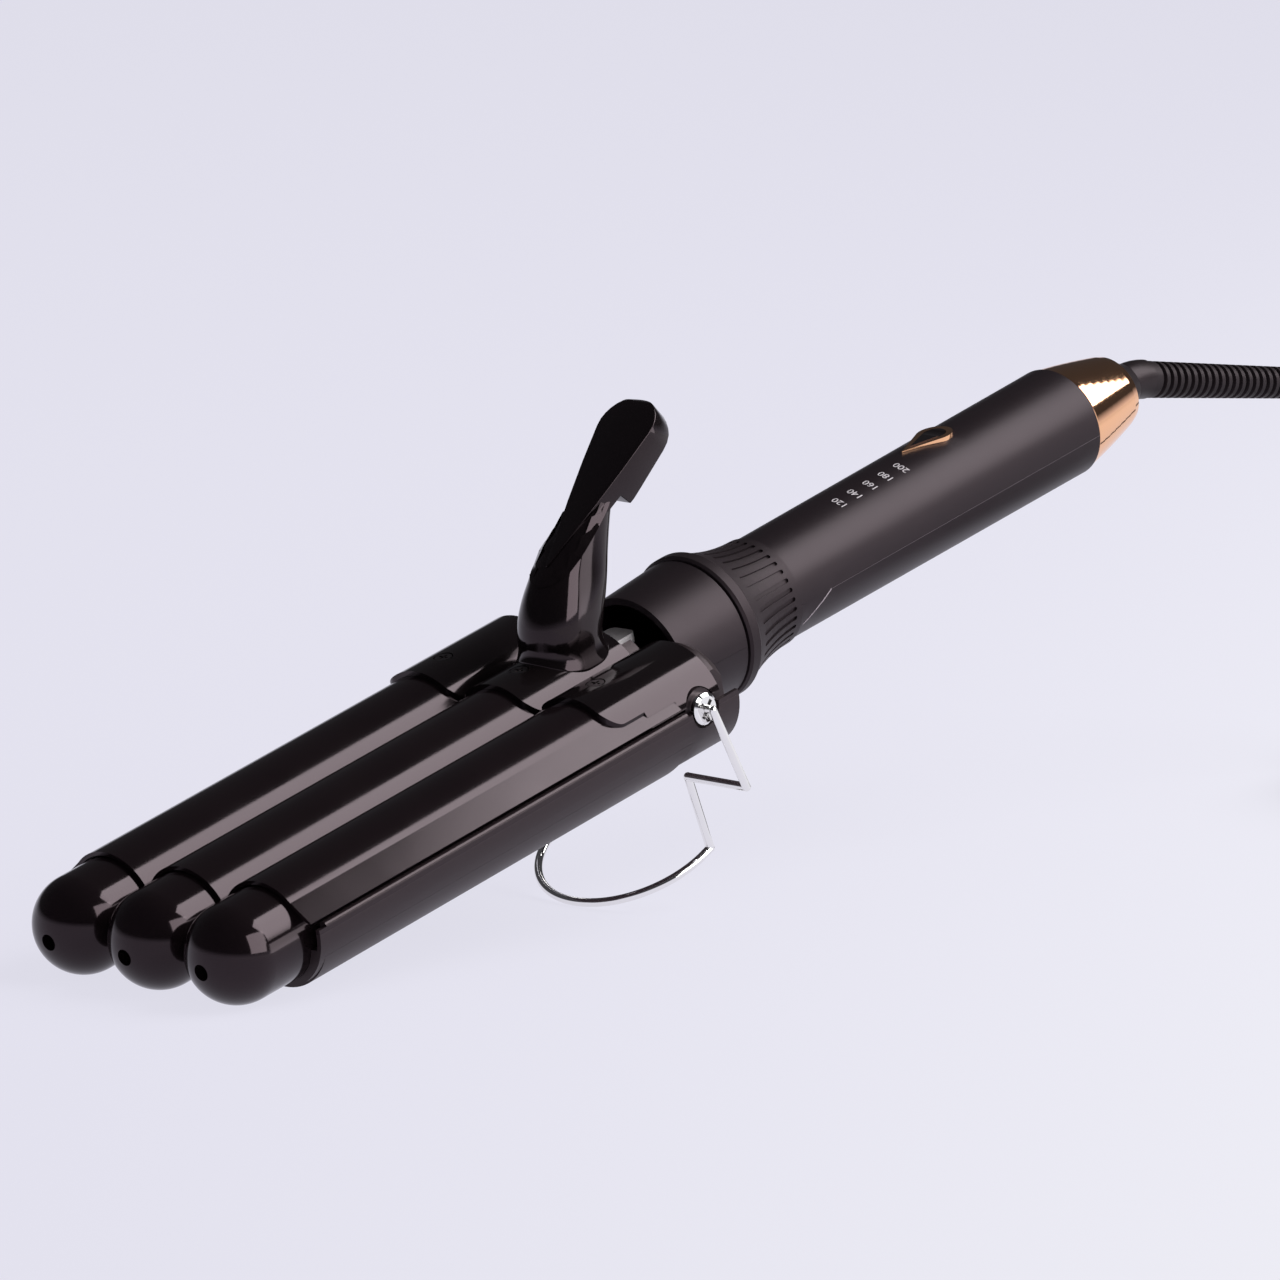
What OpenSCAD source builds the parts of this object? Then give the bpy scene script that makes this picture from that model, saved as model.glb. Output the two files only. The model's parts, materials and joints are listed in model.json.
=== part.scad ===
// Three-barrel hair waver standing on its wire stand.
// Each piece is drawn along X, with the tips of the caps at X = 0 and the middle
// barrel's axis on Z = 0, and is then laid at the angle at which caps and stand rest.

/* [Barrels] */
// Outer diameter of each heated barrel and its cap
barrel_d = 25; // [22:0.5:28]
// Free gap between neighbouring barrels
barrel_gap = 0.4; // [0.3:0.1:1.5]
// Wall of each barrel tube
barrel_wall = 1.6; // [1:0.1:2.5]
// Length of each barrel tube
barrel_len = 135; // [120:1:150]

/* [Tip caps] */
// Length of the cap that shows in front of the tube
cap_len = 22.5; // [18:0.5:30]
// Length of the spigot inside the tube
cap_plug_len = 8; // [5:0.5:12]
// Diameter of the hole in the tip of each cap
tip_hole_d = 4.2; // [2:0.2:6]
// Depth of the hole in the tip of each cap
tip_hole_depth = 6; // [3:0.5:10]

/* [Heaters] */
// Width of the heating element with its holder
heater_w = 15; // [10:0.5:17]
// Thickness of the heating element with its holder
heater_t = 10; // [6:0.5:12]
// Distance from the heating element's rear end to the barrel's rear end
heater_margin = 16; // [12:0.5:30]

/* [Clamp plate] */
// Thickness of the pressed clamp plate
plate_t = 1; // [0.8:0.1:1.4]
// Gap between the clamp plate and the barrels
plate_gap = 0.35; // [0.3:0.05:1]
// Distance from the cap seam to the plate's front edge
plate_setback = 0.8; // [0.5:0.1:4]
// Distance from the plate's rear edge to the barrels' rear ends
plate_tail = 0.2; // [0.2:0.1:2]
// Half width over the plate's flared lips
lip_half_w = 41; // [39:0.2:42]
// Angle on the outer ridges where the flare starts
flare_angle = 44; // [42:1:50]

/* [Tray] */
// Wall of the tray frame
tray_wall = 1.2; // [1:0.1:2]
// Space between the outer barrels and the tray's side wall
tray_side_gap = 2.5; // [2:0.1:4]
// Space under the barrels
tray_floor_gap = 0.3; // [0.2:0.1:1]
// Height of the tray's rim over the barrel axes
rim_z = 2.8; // [2:0.1:4]
// Diameter of the bead on the rim
bead_d = 2.2; // [1.6:0.1:3]
// Height of the parting line between the frame and the bottom cover
parting_z = -5; // [-7:0.5:-3]
// How much lower the bottom cover reaches than the frame behind it
cover_drop = 1.2; // [0.6:0.1:2]
// Distance from the bottom cover's rear edge to the barrels' rear ends
cover_tail = 1.5; // [-0.5:0.5:9.5]

/* [Hinge] */
// Distance from the barrels' rear ends to the hinge axis
hinge_gap = 7.5; // [6.5:0.5:10.5]
// Height of the hinge axis over the barrel axes
hinge_z = 2.4; // [1:0.2:4]
// Diameter of the hinge pin
pin_d = 5; // [4.5:0.1:6]
// Radial play of the running fits
running_play = 0.06; // [0.03:0.01:0.1]
// Diameter of the chrome screw heads
screw_head_d = 8; // [7:0.2:9]
// Thickness of the chrome screw heads
screw_head_t = 2.5; // [2:0.1:3]
// Wire diameter of the torsion spring
spring_wire_d = 1.2; // [1:0.1:1.4]
// Curls of the torsion spring
spring_turns = 6; // [4:1:8]

/* [Lever] */
// Wall of the glossy bracket
bracket_wall = 1.3; // [1:0.1:2]
// Length of the bracket along the middle barrel
bracket_len = 37; // [34:0.5:38]
// Width of the lever's stem at its foot
stem_w = 19; // [15:0.5:21]
// Height of the low end of the thumb pad over the barrel axes
pad_z = 35.8; // [34:0.5:38]
// Length of the thumb pad
pad_len = 52; // [46:1:56]
// Width of the thumb pad at its round end
pad_w = 17.6; // [14:0.4:20]
// Thickness of the thumb pad where the stem meets it
pad_t = 9; // [7:0.5:10]
// Slope of the thumb pad
pad_slope = 33.5; // [30:0.5:38]

/* [Stand] */
// Diameter of the stand's wire
wire_d = 2.2; // [1.8:0.1:2.6]
// Half distance between the stand's outer legs
stand_outer_y = 43.8; // [43.6:0.2:46]
// Half distance between the stand's inner legs
stand_inner_y = 24.5; // [23.5:0.5:26]
// Reach of the outer legs below the hinge
leg_outer_drop = 23.3; // [22:0.5:25]
// Reach of the inner legs below the outer ones
leg_inner_drop = 20.5; // [19:0.5:24]
// Straight length at each end of the round loop
loop_straight = 2.2; // [1:0.2:6]
// Dip of the loop below the barrel direction
loop_dip = 15.5; // [12:0.5:18]

/* [Handle] */
// Distance from the hinge axis to the neck's front rim
neck_gap = 19.6; // [18.4:0.2:22]
// Radius of the neck at its front rim
neck_front_r = 17.5; // [16.5:0.1:18]
// Radius of the neck at the collar
neck_rear_r = 18.7; // [18:0.1:19.2]
// Length of the neck from its rim to the collar
neck_len = 21.7; // [20:0.5:24]
// Length of the ribbed collar
collar_len = 25.5; // [22:0.5:30]
// Radius of the collar's front lip
collar_lip_r = 19.5; // [19.3:0.1:20.2]
// Number of flutes round the collar
flutes = 36; // [24:1:40]
// Radius of the grip just behind the collar
grip_front_r = 14.1; // [13.8:0.1:14.6]
// Radius of the grip at the rear ring
grip_rear_r = 14.6; // [14.2:0.1:15.4]
// Length of the grip between the collar and the rear ring
grip_len = 117.5; // [110:0.5:125]
// Wall of the handle shells
shell_wall = 1.8; // [1.4:0.1:2.4]
// Height of the seam between the handle shells
seam_z = -1; // [-2:0.2:0]

/* [Button] */
// Distance from the collar's rear edge to the middle of the button's round end
button_setback = 72.2; // [66.2:0.5:78.2]
// Length of the button's bezel
bezel_len = 17.5; // [15:0.5:20]
// Width of the button's bezel
bezel_w = 9.6; // [8:0.2:11]
// Travel of the button
button_travel = 0.8; // [0.4:0.1:1]

/* [Rear ring and cord] */
// Length of the rear ring
ring_len = 22.4; // [18:0.2:26]
// Radius of the rear ring's small end
ring_small_r = 9.7; // [9.2:0.1:11]
// Angle of the elbow below the handle axis
elbow_angle = 22; // [15:1:30]
// Diameter of the cord
cord_d = 6; // [5.5:0.1:6.5]
// Length of the strain relief
relief_len = 60; // [40:1:60]
// Diameter of the strain relief at the elbow
relief_d = 9.6; // [9:0.2:11]

/* [Hidden] */

$fn = 64;
eps = 0.01;
// Size of plain cutting blocks, larger than any piece that they cut
cutter = 120;

// ---- Derived places -------------------------------------------------------
barrel_r = barrel_d / 2;
pitch = barrel_d + barrel_gap;
barrel_end_x = cap_len + barrel_len;
heater_x = cap_len + cap_plug_len + 6;
heater_len = barrel_end_x - heater_margin - heater_x;
plate_in_r = barrel_r + plate_gap;
plate_out_r = plate_in_r + plate_t;
plate_x = cap_len + plate_setback;
plate_len = barrel_len - plate_setback - plate_tail;
cover_end_x = barrel_end_x - cover_tail;
hinge_x = barrel_end_x + hinge_gap;
neck_x = hinge_x + neck_gap;
seat_gap = 0.05;
bracket_in_r = plate_out_r + seat_gap;
bracket_out_r = bracket_in_r + bracket_wall;
liner_x = hinge_x + 7.4;
liner_t = 4.8;
bracket_x = liner_x - bracket_len;
tray_in_r = barrel_r + tray_side_gap;
tray_out_r = tray_in_r + tray_wall;
tray_side_z = tray_in_r - barrel_r - tray_floor_gap;
tray_x = cap_len + 2.4;
tray_end_x = liner_x + liner_t;
tray_floor_z = tray_side_z - tray_out_r;
socket_depth = 5;
sweep_r = 16.6;
cheek_face_y = pitch + 14;
pin_half_len = cheek_face_y - 0.1;
ear_y = cheek_face_y - 2.9;
pivot = [hinge_x, 0, hinge_z];
collar_x = neck_x + neck_len + 0.5;
grip_x = collar_x + collar_len;
ring_x = grip_x + grip_len;
ring_end_x = ring_x + ring_len;
button_x = grip_x + button_setback;
handle_z = 0.7;
shell_split_play = 0.05;
board_x = grip_x + 20;
board_len = 78;
board_w = 19;
board_z = 5.2;
board_t = 1.6;
journal_r = 6;

// Where the stand's wire turns, in the plane of the left legs
jog_x = hinge_x + leg_outer_drop * tan(16.5);
jog_z = hinge_z - leg_outer_drop;
foot_x = jog_x + leg_inner_drop * tan(9);
foot_z = jog_z - leg_inner_drop;
loop_reach = loop_straight + stand_inner_y;
apex_x = foot_x - loop_reach * cos(loop_dip);
apex_z = foot_z - loop_reach * sin(loop_dip);

// Angle and height at which the round caps and the loop's end stand on the surface
apex_dist = norm([apex_x - barrel_r, apex_z]);
rest_tilt = atan2(-apex_z, apex_x - barrel_r) - asin((barrel_r - wire_d / 2) / apex_dist);
rest_lift = barrel_r - barrel_r * sin(rest_tilt);
elbow_bend_r = 20;
elbow_start_x = ring_end_x + 5;
elbow_end = [elbow_start_x + elbow_bend_r * sin(elbow_angle),
             handle_z - elbow_bend_r * (1 - cos(elbow_angle))];
elbow_r = relief_d / 2 + 0.3;
relief_tip = [elbow_end[0] + relief_len * cos(elbow_angle), elbow_end[1] - relief_len * sin(elbow_angle)];
relief_tip_r = cord_d / 2 + 1.1;
// Ends of the object along X once it is tilted: the round caps and the strain relief's tip
low_x = barrel_r * cos(rest_tilt) - barrel_r;
high_x = relief_tip[0] * cos(rest_tilt) - relief_tip[1] * sin(rest_tilt)
    + relief_tip_r * abs(sin(rest_tilt - elbow_angle));
middle_x = (low_x + high_x) / 2;

echo(rest_tilt = rest_tilt, rest_lift = rest_lift, middle_x = middle_x, ring_end_x = ring_end_x);
echo(elbow_end = elbow_end);

// ---- Helpers --------------------------------------------------------------
// Tilts a piece that is drawn along X to the way the object stands
module placed() {
    translate([-middle_x, 0, rest_lift]) rotate([0, -rest_tilt, 0]) children();
}

// Extrudes an outline drawn in Y and Z along X
module along_x(x, len) {
    translate([x, 0, 0]) rotate([90, 0, 90]) linear_extrude(len) children();
}

// Extrudes an outline drawn in X and Z across Y, evenly to both sides
module across_y(width) {
    rotate([90, 0, 0]) linear_extrude(width, center = true) children();
}

module tube_x(x, r, len) {
    translate([x, 0, 0]) rotate([0, 90, 0]) cylinder(r = r, h = len);
}

module rod_y(r, y, len) {
    translate([0, y, 0]) rotate([-90, 0, 0]) cylinder(r = r, h = len);
}

// Both sides of the object
module both_sides() {
    for (side = [-1, 1]) scale_side(side) children();
}

module scale_side(side) {
    if (side > 0) children();
    else mirror([0, 1, 0]) children();
}

// ---- Barrels, caps and heaters ---------------------------------------------
module barrel(index) {
    translate([0, index * pitch, 0]) difference() {
        tube_x(cap_len, barrel_r, barrel_len);
        tube_x(cap_len - 1, barrel_r - barrel_wall, barrel_len + 2);
    }
}

// A round dome on a short cylinder, with a spigot that plugs the tube
module tip_cap(index) {
    translate([0, index * pitch, 0]) difference() {
        union() {
            translate([barrel_r, 0, 0]) sphere(r = barrel_r, $fn = 96);
            tube_x(barrel_r, barrel_r, cap_len - barrel_r);
            tube_x(cap_len - eps, barrel_r - barrel_wall - seat_gap, cap_plug_len);
        }
        tube_x(-1, tip_hole_d / 2, tip_hole_depth + 1);
        tube_x(cap_len - 5, barrel_r - barrel_wall - 3, cap_plug_len + 6);
    }
}

// Two half-round aluminium holders round a flat ceramic element
module heater(index) {
    holder_r = barrel_r - barrel_wall - seat_gap;
    translate([0, index * pitch, 0]) along_x(heater_x, heater_len) difference() {
        intersection() {
            circle(r = holder_r);
            square([2 * holder_r, heater_t * 2], center = true);
        }
        for (side = [-1, 1], end = [-1, 1]) translate([side * heater_w / 2, end * heater_t])
            square([1.2, heater_t * 1.2], center = true);
        for (end = [-1, 1]) translate([0, end * heater_t * 0.8]) circle(r = 3);
    }
}

// ---- Tray -----------------------------------------------------------------
// Half-round sides and a flat floor, as an outline in Y and Z
module tray_outline(side_y, side_z, r, top_z) {
    intersection() {
        union() {
            for (side = [-1, 1]) translate([side * side_y, side_z]) circle(r = r, $fn = 96);
            translate([-side_y, side_z - r]) square([2 * side_y, r + 4]);
            translate([-side_y - r, side_z]) square([2 * (side_y + r), 4]);
        }
        translate([-2 * side_y - r, side_z - r - 1]) square([4 * side_y + 2 * r, top_z - side_z + r + 1]);
    }
}

module barrel_circles(r) {
    for (index = [-1:1]) translate([index * pitch, 0]) circle(r = r, $fn = 96);
}

// The space that the moving jaw sweeps round the hinge
module jaw_sweep() {
    translate(pivot) rod_y(sweep_r, -cheek_face_y + 3.2, 2 * cheek_face_y - 6.4);
}

// Side position of the bottom cover, so that it is flush with the frame at the parting line
part_drop = tray_side_z - parting_z;
cover_r = tray_out_r + cover_drop;
cover_y = pitch + sqrt(tray_out_r * tray_out_r - part_drop * part_drop)
    - sqrt(cover_r * cover_r - part_drop * part_drop);
cover_x = tray_x + 2;
step_slope = 28;

// Space under the parting line and in front of the slanted step
module cover_zone(grow) {
    across_y(6 * pitch) polygon([
        [cover_x - grow, parting_z + grow], [cover_x - grow, tray_floor_z - 20],
        [cover_end_x + grow - 20 * tan(step_slope), tray_floor_z - 20],
        [cover_end_x + grow + (parting_z + grow - tray_floor_z) * tan(step_slope), parting_z + grow]]);
}

// What of the frame lies above the bottom cover
module over_cover() {
    difference() {
        children();
        difference() {
            cover_zone(0.05);
            along_x(tray_x - 1, tray_end_x) tray_outline(cover_y, tray_side_z, tray_out_r, rim_z + 9);
        }
    }
}

module tray_rib(x, len, top_z, hole_r) {
    along_x(x, len) difference() {
        tray_outline(pitch, tray_side_z, tray_out_r, top_z);
        barrel_circles(hole_r);
    }
}

module tray_walls() {
    over_cover() {
        // side walls
        difference() {
            along_x(tray_x, tray_end_x - tray_x) tray_outline(pitch, tray_side_z, tray_out_r, rim_z);
            along_x(tray_x - 1, tray_end_x - tray_x + 2)
                tray_outline(pitch, tray_side_z, tray_in_r, rim_z + 5);
            cover_zone(0.05);
        }
        // front saddle, rear sockets and the wall that the barrels butt against
        tray_rib(tray_x, 2, rim_z - 5.5, barrel_r + seat_gap);
        tray_rib(barrel_end_x - socket_depth, socket_depth, rim_z, barrel_r + seat_gap);
        tray_rib(barrel_end_x, 2, rim_z, barrel_r - 4);
        // middle saddle
        tray_rib(tray_x + 62, 2, rim_z - 6, barrel_r + seat_gap);
    }
}

// Cheek that carries one end of the hinge pin, on a web that grows out of the side wall
cheek_r = 5;
cheek_t = 1.8;
module hinge_cheek() {
    translate([hinge_x, cheek_face_y - cheek_t, hinge_z]) rotate([-90, 0, 0]) cylinder(r = cheek_r, h = cheek_t);
    translate([hinge_x - cheek_r, cheek_face_y - cheek_t, -5.5]) cube([2 * cheek_r, cheek_t, hinge_z + 5.5]);
}

module tray_body() {
    difference() {
        union() {
            tray_walls();
            both_sides() {
                hinge_cheek();
                // bead along the rim
                translate([tray_x + 2.6, pitch + tray_out_r - bead_d / 2, rim_z])
                    rotate([0, 90, 0]) cylinder(d = bead_d, h = hinge_x - tray_x - 9, $fn = 32);
            }
            neck_root();
        }
        for (x = cover_screw_xs) translate([x, 0, tray_floor_z - 1]) cylinder(d = 2.7, h = 5);
        both_sides() translate(pivot) {
            rod_y(pin_d / 2 + seat_gap, cheek_face_y - 6, 9);
            rod_y(screw_head_d / 2 + 0.8, cheek_face_y, 9);
        }
    }
}

// Floor under the neck that ties the tray to the handle's lower shell
module neck_root() {
    translate([liner_x - 2, -12, tray_floor_z]) cube([tray_end_x - liner_x + 6, 24, 1.4]);
}

module bottom_cover_body() {
    difference() {
        intersection() {
            along_x(cover_x, cover_end_x - cover_x + 10) difference() {
                tray_outline(cover_y, tray_side_z, cover_r, parting_z);
                tray_outline(cover_y, tray_side_z, tray_out_r + 0.05, parting_z + 5);
            }
            cover_zone(0);
        }
        for (x = cover_screw_xs) translate([x, 0, cover_low_z - 1]) {
            cylinder(d = 3.4, h = 6);
            cylinder(d = 5.8, h = 1 + cover_recess);
        }
    }
}
cover_screw_xs = [tray_x + 63, barrel_end_x - socket_depth / 2];
cover_low_z = tray_side_z - cover_r;
cover_recess = 0.7;
cover_head_t = 0.6;
// The screws' shanks end in the frame, short of the middle barrel
module cover_screws_body() {
    shank_len = -barrel_r - 0.25 - cover_low_z - cover_recess;
    for (x = cover_screw_xs) translate([x, 0, cover_low_z + cover_recess - cover_head_t])
        small_screw(5, cover_head_t, 2.6, shank_len);
}

module small_screw(head_d, head_t, shank_d, len) {
    difference() {
        union() {
            cylinder(d = head_d, h = head_t, $fn = 40);
            translate([0, 0, head_t - eps]) cylinder(d = shank_d, h = len, $fn = 32);
        }
        for (turn = [0, 90]) rotate([0, 0, turn])
            translate([-head_d * 0.32, -0.3, -1]) cube([head_d * 0.64, 0.6, 1 + head_t * 0.5]);
    }
}

// ---- Hinge ----------------------------------------------------------------
module hinge_pin_body() {
    translate(pivot) difference() {
        rod_y(pin_d / 2, -pin_half_len, 2 * pin_half_len);
        for (side = [-1, 1]) scale_side(side) rod_y(1.75 + seat_gap, pin_half_len - 8, 9);
    }
}

// Chrome screw with a cross recess and a bore that holds the wire's end
module hinge_screw() {
    translate(pivot) difference() {
        union() {
            rod_y(screw_head_d / 2, cheek_face_y + 0.05, screw_head_t - 0.6);
            translate([0, cheek_face_y + screw_head_t - 0.55, 0]) rotate([-90, 0, 0])
                cylinder(r1 = screw_head_d / 2, r2 = screw_head_d / 2 - 0.7, h = 0.6);
            rod_y(1.75, cheek_face_y - 7, 7.1);
        }
        rod_y(wire_d / 2 + running_play, cheek_face_y - 3.4, 9);
        for (turn = [45, 135]) rotate([0, turn, 0])
            translate([-2.6, cheek_face_y + screw_head_t - 1.5, -0.55]) cube([5.2, 3, 1.1]);
    }
}

// One unbroken tube through rings that sweep along a list of points
function unit(v) = v / norm(v);
function tangents(p) = [for (i = [0:len(p) - 1])
    unit(p[min(i + 1, len(p) - 1)] - p[max(i - 1, 0)])];
// Carries a sideways vector along the path without letting it spin
function carried(t, first) = [for (i = 0, v = first; i < len(t);
    i = i + 1, v = i < len(t) ? unit(v - (v * t[i]) * t[i]) : v) v];
module sweep(points, radii, sides, first) {
    t = tangents(points);
    side = carried(t, unit(first - (first * t[0]) * t[0]));
    n = len(points);
    verts = [for (i = [0:n - 1], k = [0:sides - 1])
        points[i] + radii[i] * (cos(360 * k / sides) * side[i] + sin(360 * k / sides) * cross(t[i], side[i]))];
    walls = [for (i = [0:n - 2], k = [0:sides - 1])
        let (a = i * sides + k, b = i * sides + (k + 1) % sides) each
        [[a, b, b + sides], [a, b + sides, a + sides]]];
    ends = [for (k = [1:sides - 2]) each
        [[0, k + 1, k], [(n - 1) * sides, (n - 1) * sides + k, (n - 1) * sides + k + 1]]];
    polyhedron(points = verts, faces = [for (f = concat(walls, ends)) [f[0], f[2], f[1]]], convexity = 10);
}

// Torsion spring round the hinge pin: curls, a leg under the bracket and a leg on the floor
spring_r = pin_d / 2 + running_play + 0.5 + spring_wire_d / 2;
spring_pitch = spring_wire_d + 0.5;
spring_half = spring_turns * spring_pitch / 2;
function spring_point(a) = [spring_r * cos(a), -spring_half + spring_pitch * a / 360, spring_r * sin(a)];
spring_points = concat(
    [[-3.2, -spring_half, spring_r + 6.2]],
    [for (a = [90:45:90 + 360 * spring_turns]) spring_point(a) - [0, spring_pitch / 4, 0]],
    [[-5, spring_half, spring_r + 1.2]]);
module clamp_spring_body() {
    translate(pivot) sweep([for (p = spring_points) p], [for (p = spring_points) spring_wire_d / 2], 6, [0, 1, 0]);
}

// ---- Clamp ----------------------------------------------------------------
// Ridge over each barrel with a flare at both sides, as an outline in Y and Z
module ridge_outline(r, grow) {
    flare_y = pitch + (r - 0.05) * sin(flare_angle);
    flare_z = (r - 0.05) * cos(flare_angle);
    flare_run = lip_half_w + grow - flare_y;
    intersection() {
        union() {
            for (index = [-1:1]) translate([index * pitch, 0]) circle(r = r, $fn = 96);
            translate([-pitch, 0]) square([2 * pitch, valley_z - plate_out_r + r]);
            for (side = [-1, 1]) scale([side, 1]) polygon([
                [pitch, flare_z], [flare_y, flare_z],
                [flare_y + flare_run, flare_z - flare_run * tan(flare_slope)],
                [flare_y + flare_run, -1], [pitch, -1]]);
        }
        translate([-cutter / 2, 0]) square(cutter);
    }
}
valley_z = 6.4;

module clamp_plate_body() {
    difference() {
        along_x(plate_x, plate_len) intersection() {
            difference() {
                ridge_outline(plate_out_r, 0);
                ridge_outline(plate_in_r, 2);
            }
            translate([-cutter / 2, lip_low_z]) square(cutter);
        }
        for (screw = bracket_screw_places) translate(screw - [0, 0, 4]) cylinder(d = 2.1, h = 6);
    }
}
flare_slope = flare_angle - 6;
lip_low_z = plate_out_r * cos(flare_angle) - (lip_half_w - pitch - plate_out_r * sin(flare_angle)) * tan(flare_slope) - 0.2;

// Insulating rear wall of the jaw with its two hinge ears
module jaw_liner_body() {
    difference() {
        union() {
            along_x(liner_x, liner_t) difference() {
                union() {
                    intersection() {
                        barrel_circles(plate_out_r);
                        translate([-ear_y, -2]) square([2 * ear_y, 40]);
                    }
                    translate([-28, -7.5]) square([56, 12]);
                }
                // way for the leads and the tongue
                translate([-7.5, -20]) square([15, 24]);
                translate([0, tongue_z + 11]) circle(r = 11);
            }
            both_sides() translate([0, ear_y - 3, 0]) ear();
        }
        translate(pivot) rod_y(pin_d / 2 + running_play, -cutter / 2, cutter);
        tongue_space();
        // chamfer round the rear edge
        both_sides() translate([tray_end_x, pitch, 0]) rotate([0, 90, 0]) difference() {
            translate([0, 0, -liner_t / 2]) cylinder(r = pitch, h = liner_t);
            translate([0, 0, -liner_t / 2 - eps])
                cylinder(r1 = plate_out_r + 0.1, r2 = plate_out_r - 1.4, h = liner_t / 2 + 0.1);
            translate([-cutter / 2, -cutter - pitch / 2 + 0.7, -liner_t]) cube([cutter, cutter, 3 * liner_t]);
        }
    }
}

ear_r = 4.8;
module ear() {
    translate([hinge_x, 0, hinge_z]) rotate([-90, 0, 0]) cylinder(r = ear_r, h = 3);
    translate([hinge_x, 0, hinge_z - ear_r + 1]) cube([liner_x - hinge_x + eps, 3, 2 * ear_r - 1]);
}

// Plan of the bracket's scalloped front, one rounded tongue over each ridge
module bracket_plan() {
    tongue_round = 5;
    tongue_half = pitch / 2 + 0.05;
    shoulder = 12;
    for (index = [-1:1]) translate([bracket_x, index * pitch]) {
        translate([tongue_round, -tongue_half]) square([bracket_len - tongue_round, 2 * tongue_half]);
        translate([0, tongue_round - tongue_half]) square([bracket_len, 2 * (tongue_half - tongue_round)]);
        for (side = [-1, 1]) translate([tongue_round, side * (tongue_half - tongue_round)])
            circle(r = tongue_round);
    }
    translate([bracket_x + shoulder, -pitch - bracket_out_r])
        square([bracket_len - shoulder, 2 * (pitch + bracket_out_r)]);
}

module lever_bracket_body() {
    difference() {
        intersection() {
            along_x(bracket_x, bracket_len) difference() {
                union() {
                    barrel_circles(bracket_out_r);
                    translate([-pitch, 0]) square([2 * pitch, valley_z + bracket_wall]);
                }
                barrel_circles(bracket_in_r);
                translate([-pitch, -1]) square([2 * pitch, 1 + valley_z + seat_gap]);
                translate([-cutter / 2, rim_z + bead_d / 2 + 0.4 - cutter]) square(cutter);
            }
            linear_extrude(cutter) bracket_plan();
        }
        ridge_cut();
        for (screw = bracket_screw_places) translate(screw) screw_space();
        // room for the hinge cheeks and the screw heads
        both_sides() translate(pivot) rod_y(cheek_r + 0.3, cheek_face_y - cheek_t - 0.2, 9);
    }
}
// The flared side of the plate passes under the bracket
module ridge_cut() {
    along_x(plate_x, plate_len + 0.3) intersection() {
        ridge_outline(plate_out_r + seat_gap, 2);
        translate([-cutter / 2, lip_low_z - 0.2]) square(cutter);
    }
}
bracket_screw_z = bracket_out_r - 0.9;
bracket_screw_places = [for (index = [-1:1]) [bracket_x + 10, index * pitch, bracket_screw_z]];
module screw_space() {
    cylinder(d = 5, h = 6);
    translate([0, 0, -3]) cylinder(d = 2.4, h = 6);
}

module bracket_screws_body() {
    for (screw = bracket_screw_places) translate(screw + [0, 0, 0.75]) mirror([0, 0, 1])
        small_screw(4.4, 0.7, 2, 0.9);
}

// Side outline of the lever's stem
stem_foot_x = bracket_x + 15;
module stem_side() {
    polygon([[stem_foot_x, 6], [stem_foot_x + 0.4, 19.5], [stem_foot_x + 2.2, 25],
             [stem_foot_x + 5.5, 30], [stem_foot_x + 9.6, pad_z - 1.6],
             [stem_foot_x + 10.4, pad_z - 0.5],
             [hinge_x + 21.6, pad_z + 10.2], [hinge_x + 19.2, pad_z + 8.2], [hinge_x + 16.6, pad_z + 1.6],
             [hinge_x + 13.4, 31], [hinge_x + 9.6, 24.2], [hinge_x + 6, 18.6],
             [hinge_x + 5.6, 6]]);
}
module stem_front() {
    foot = stem_w / 2;
    polygon([for (side = [-1, 1]) each [for (i = side < 0 ? [5:-1:0] : [0:5])
        let (z = 6 + i * 9) [side * (foot - 3.6 * sin(min(90, i * 24))), z]]]);
}
// Round nose that leans with the stem's front edge
stem_lean = 32;
module stem_nose() {
    translate([stem_foot_x + 6.8, 0, 14.5]) rotate([0, stem_lean, 0])
        linear_extrude(cutter, center = true) {
            circle(d = stem_w);
            translate([0, -stem_w / 2]) square([cutter, stem_w]);
        }
}
module thumb_lever_body() {
    difference() {
        intersection() {
            across_y(2 * stem_w) stem_side();
            along_x(stem_foot_x - 5, cutter) stem_front();
            stem_nose();
        }
        along_x(bracket_x, cutter) barrel_circles(bracket_out_r + 0.02);
        tongue_space();
        // the pad's thin low end and its thick part behind the notch
        pad_frame() {
            translate([-pad_len, -stem_w, -pad_t * 0.55]) cube([3 * pad_len, 2 * stem_w, pad_len]);
            translate([pad_notch - seat_gap, -stem_w, -pad_t - seat_gap])
                cube([2 * pad_len, 2 * stem_w, pad_len]);
        }
    }
}

// Places what is drawn in the pad's own plane: X along the pad, Z off its face
pad_notch = 27;
pad_x = hinge_x - 5;
module pad_frame() {
    translate([pad_x, 0, pad_z]) rotate([0, -pad_slope, 0]) children();
}
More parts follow.
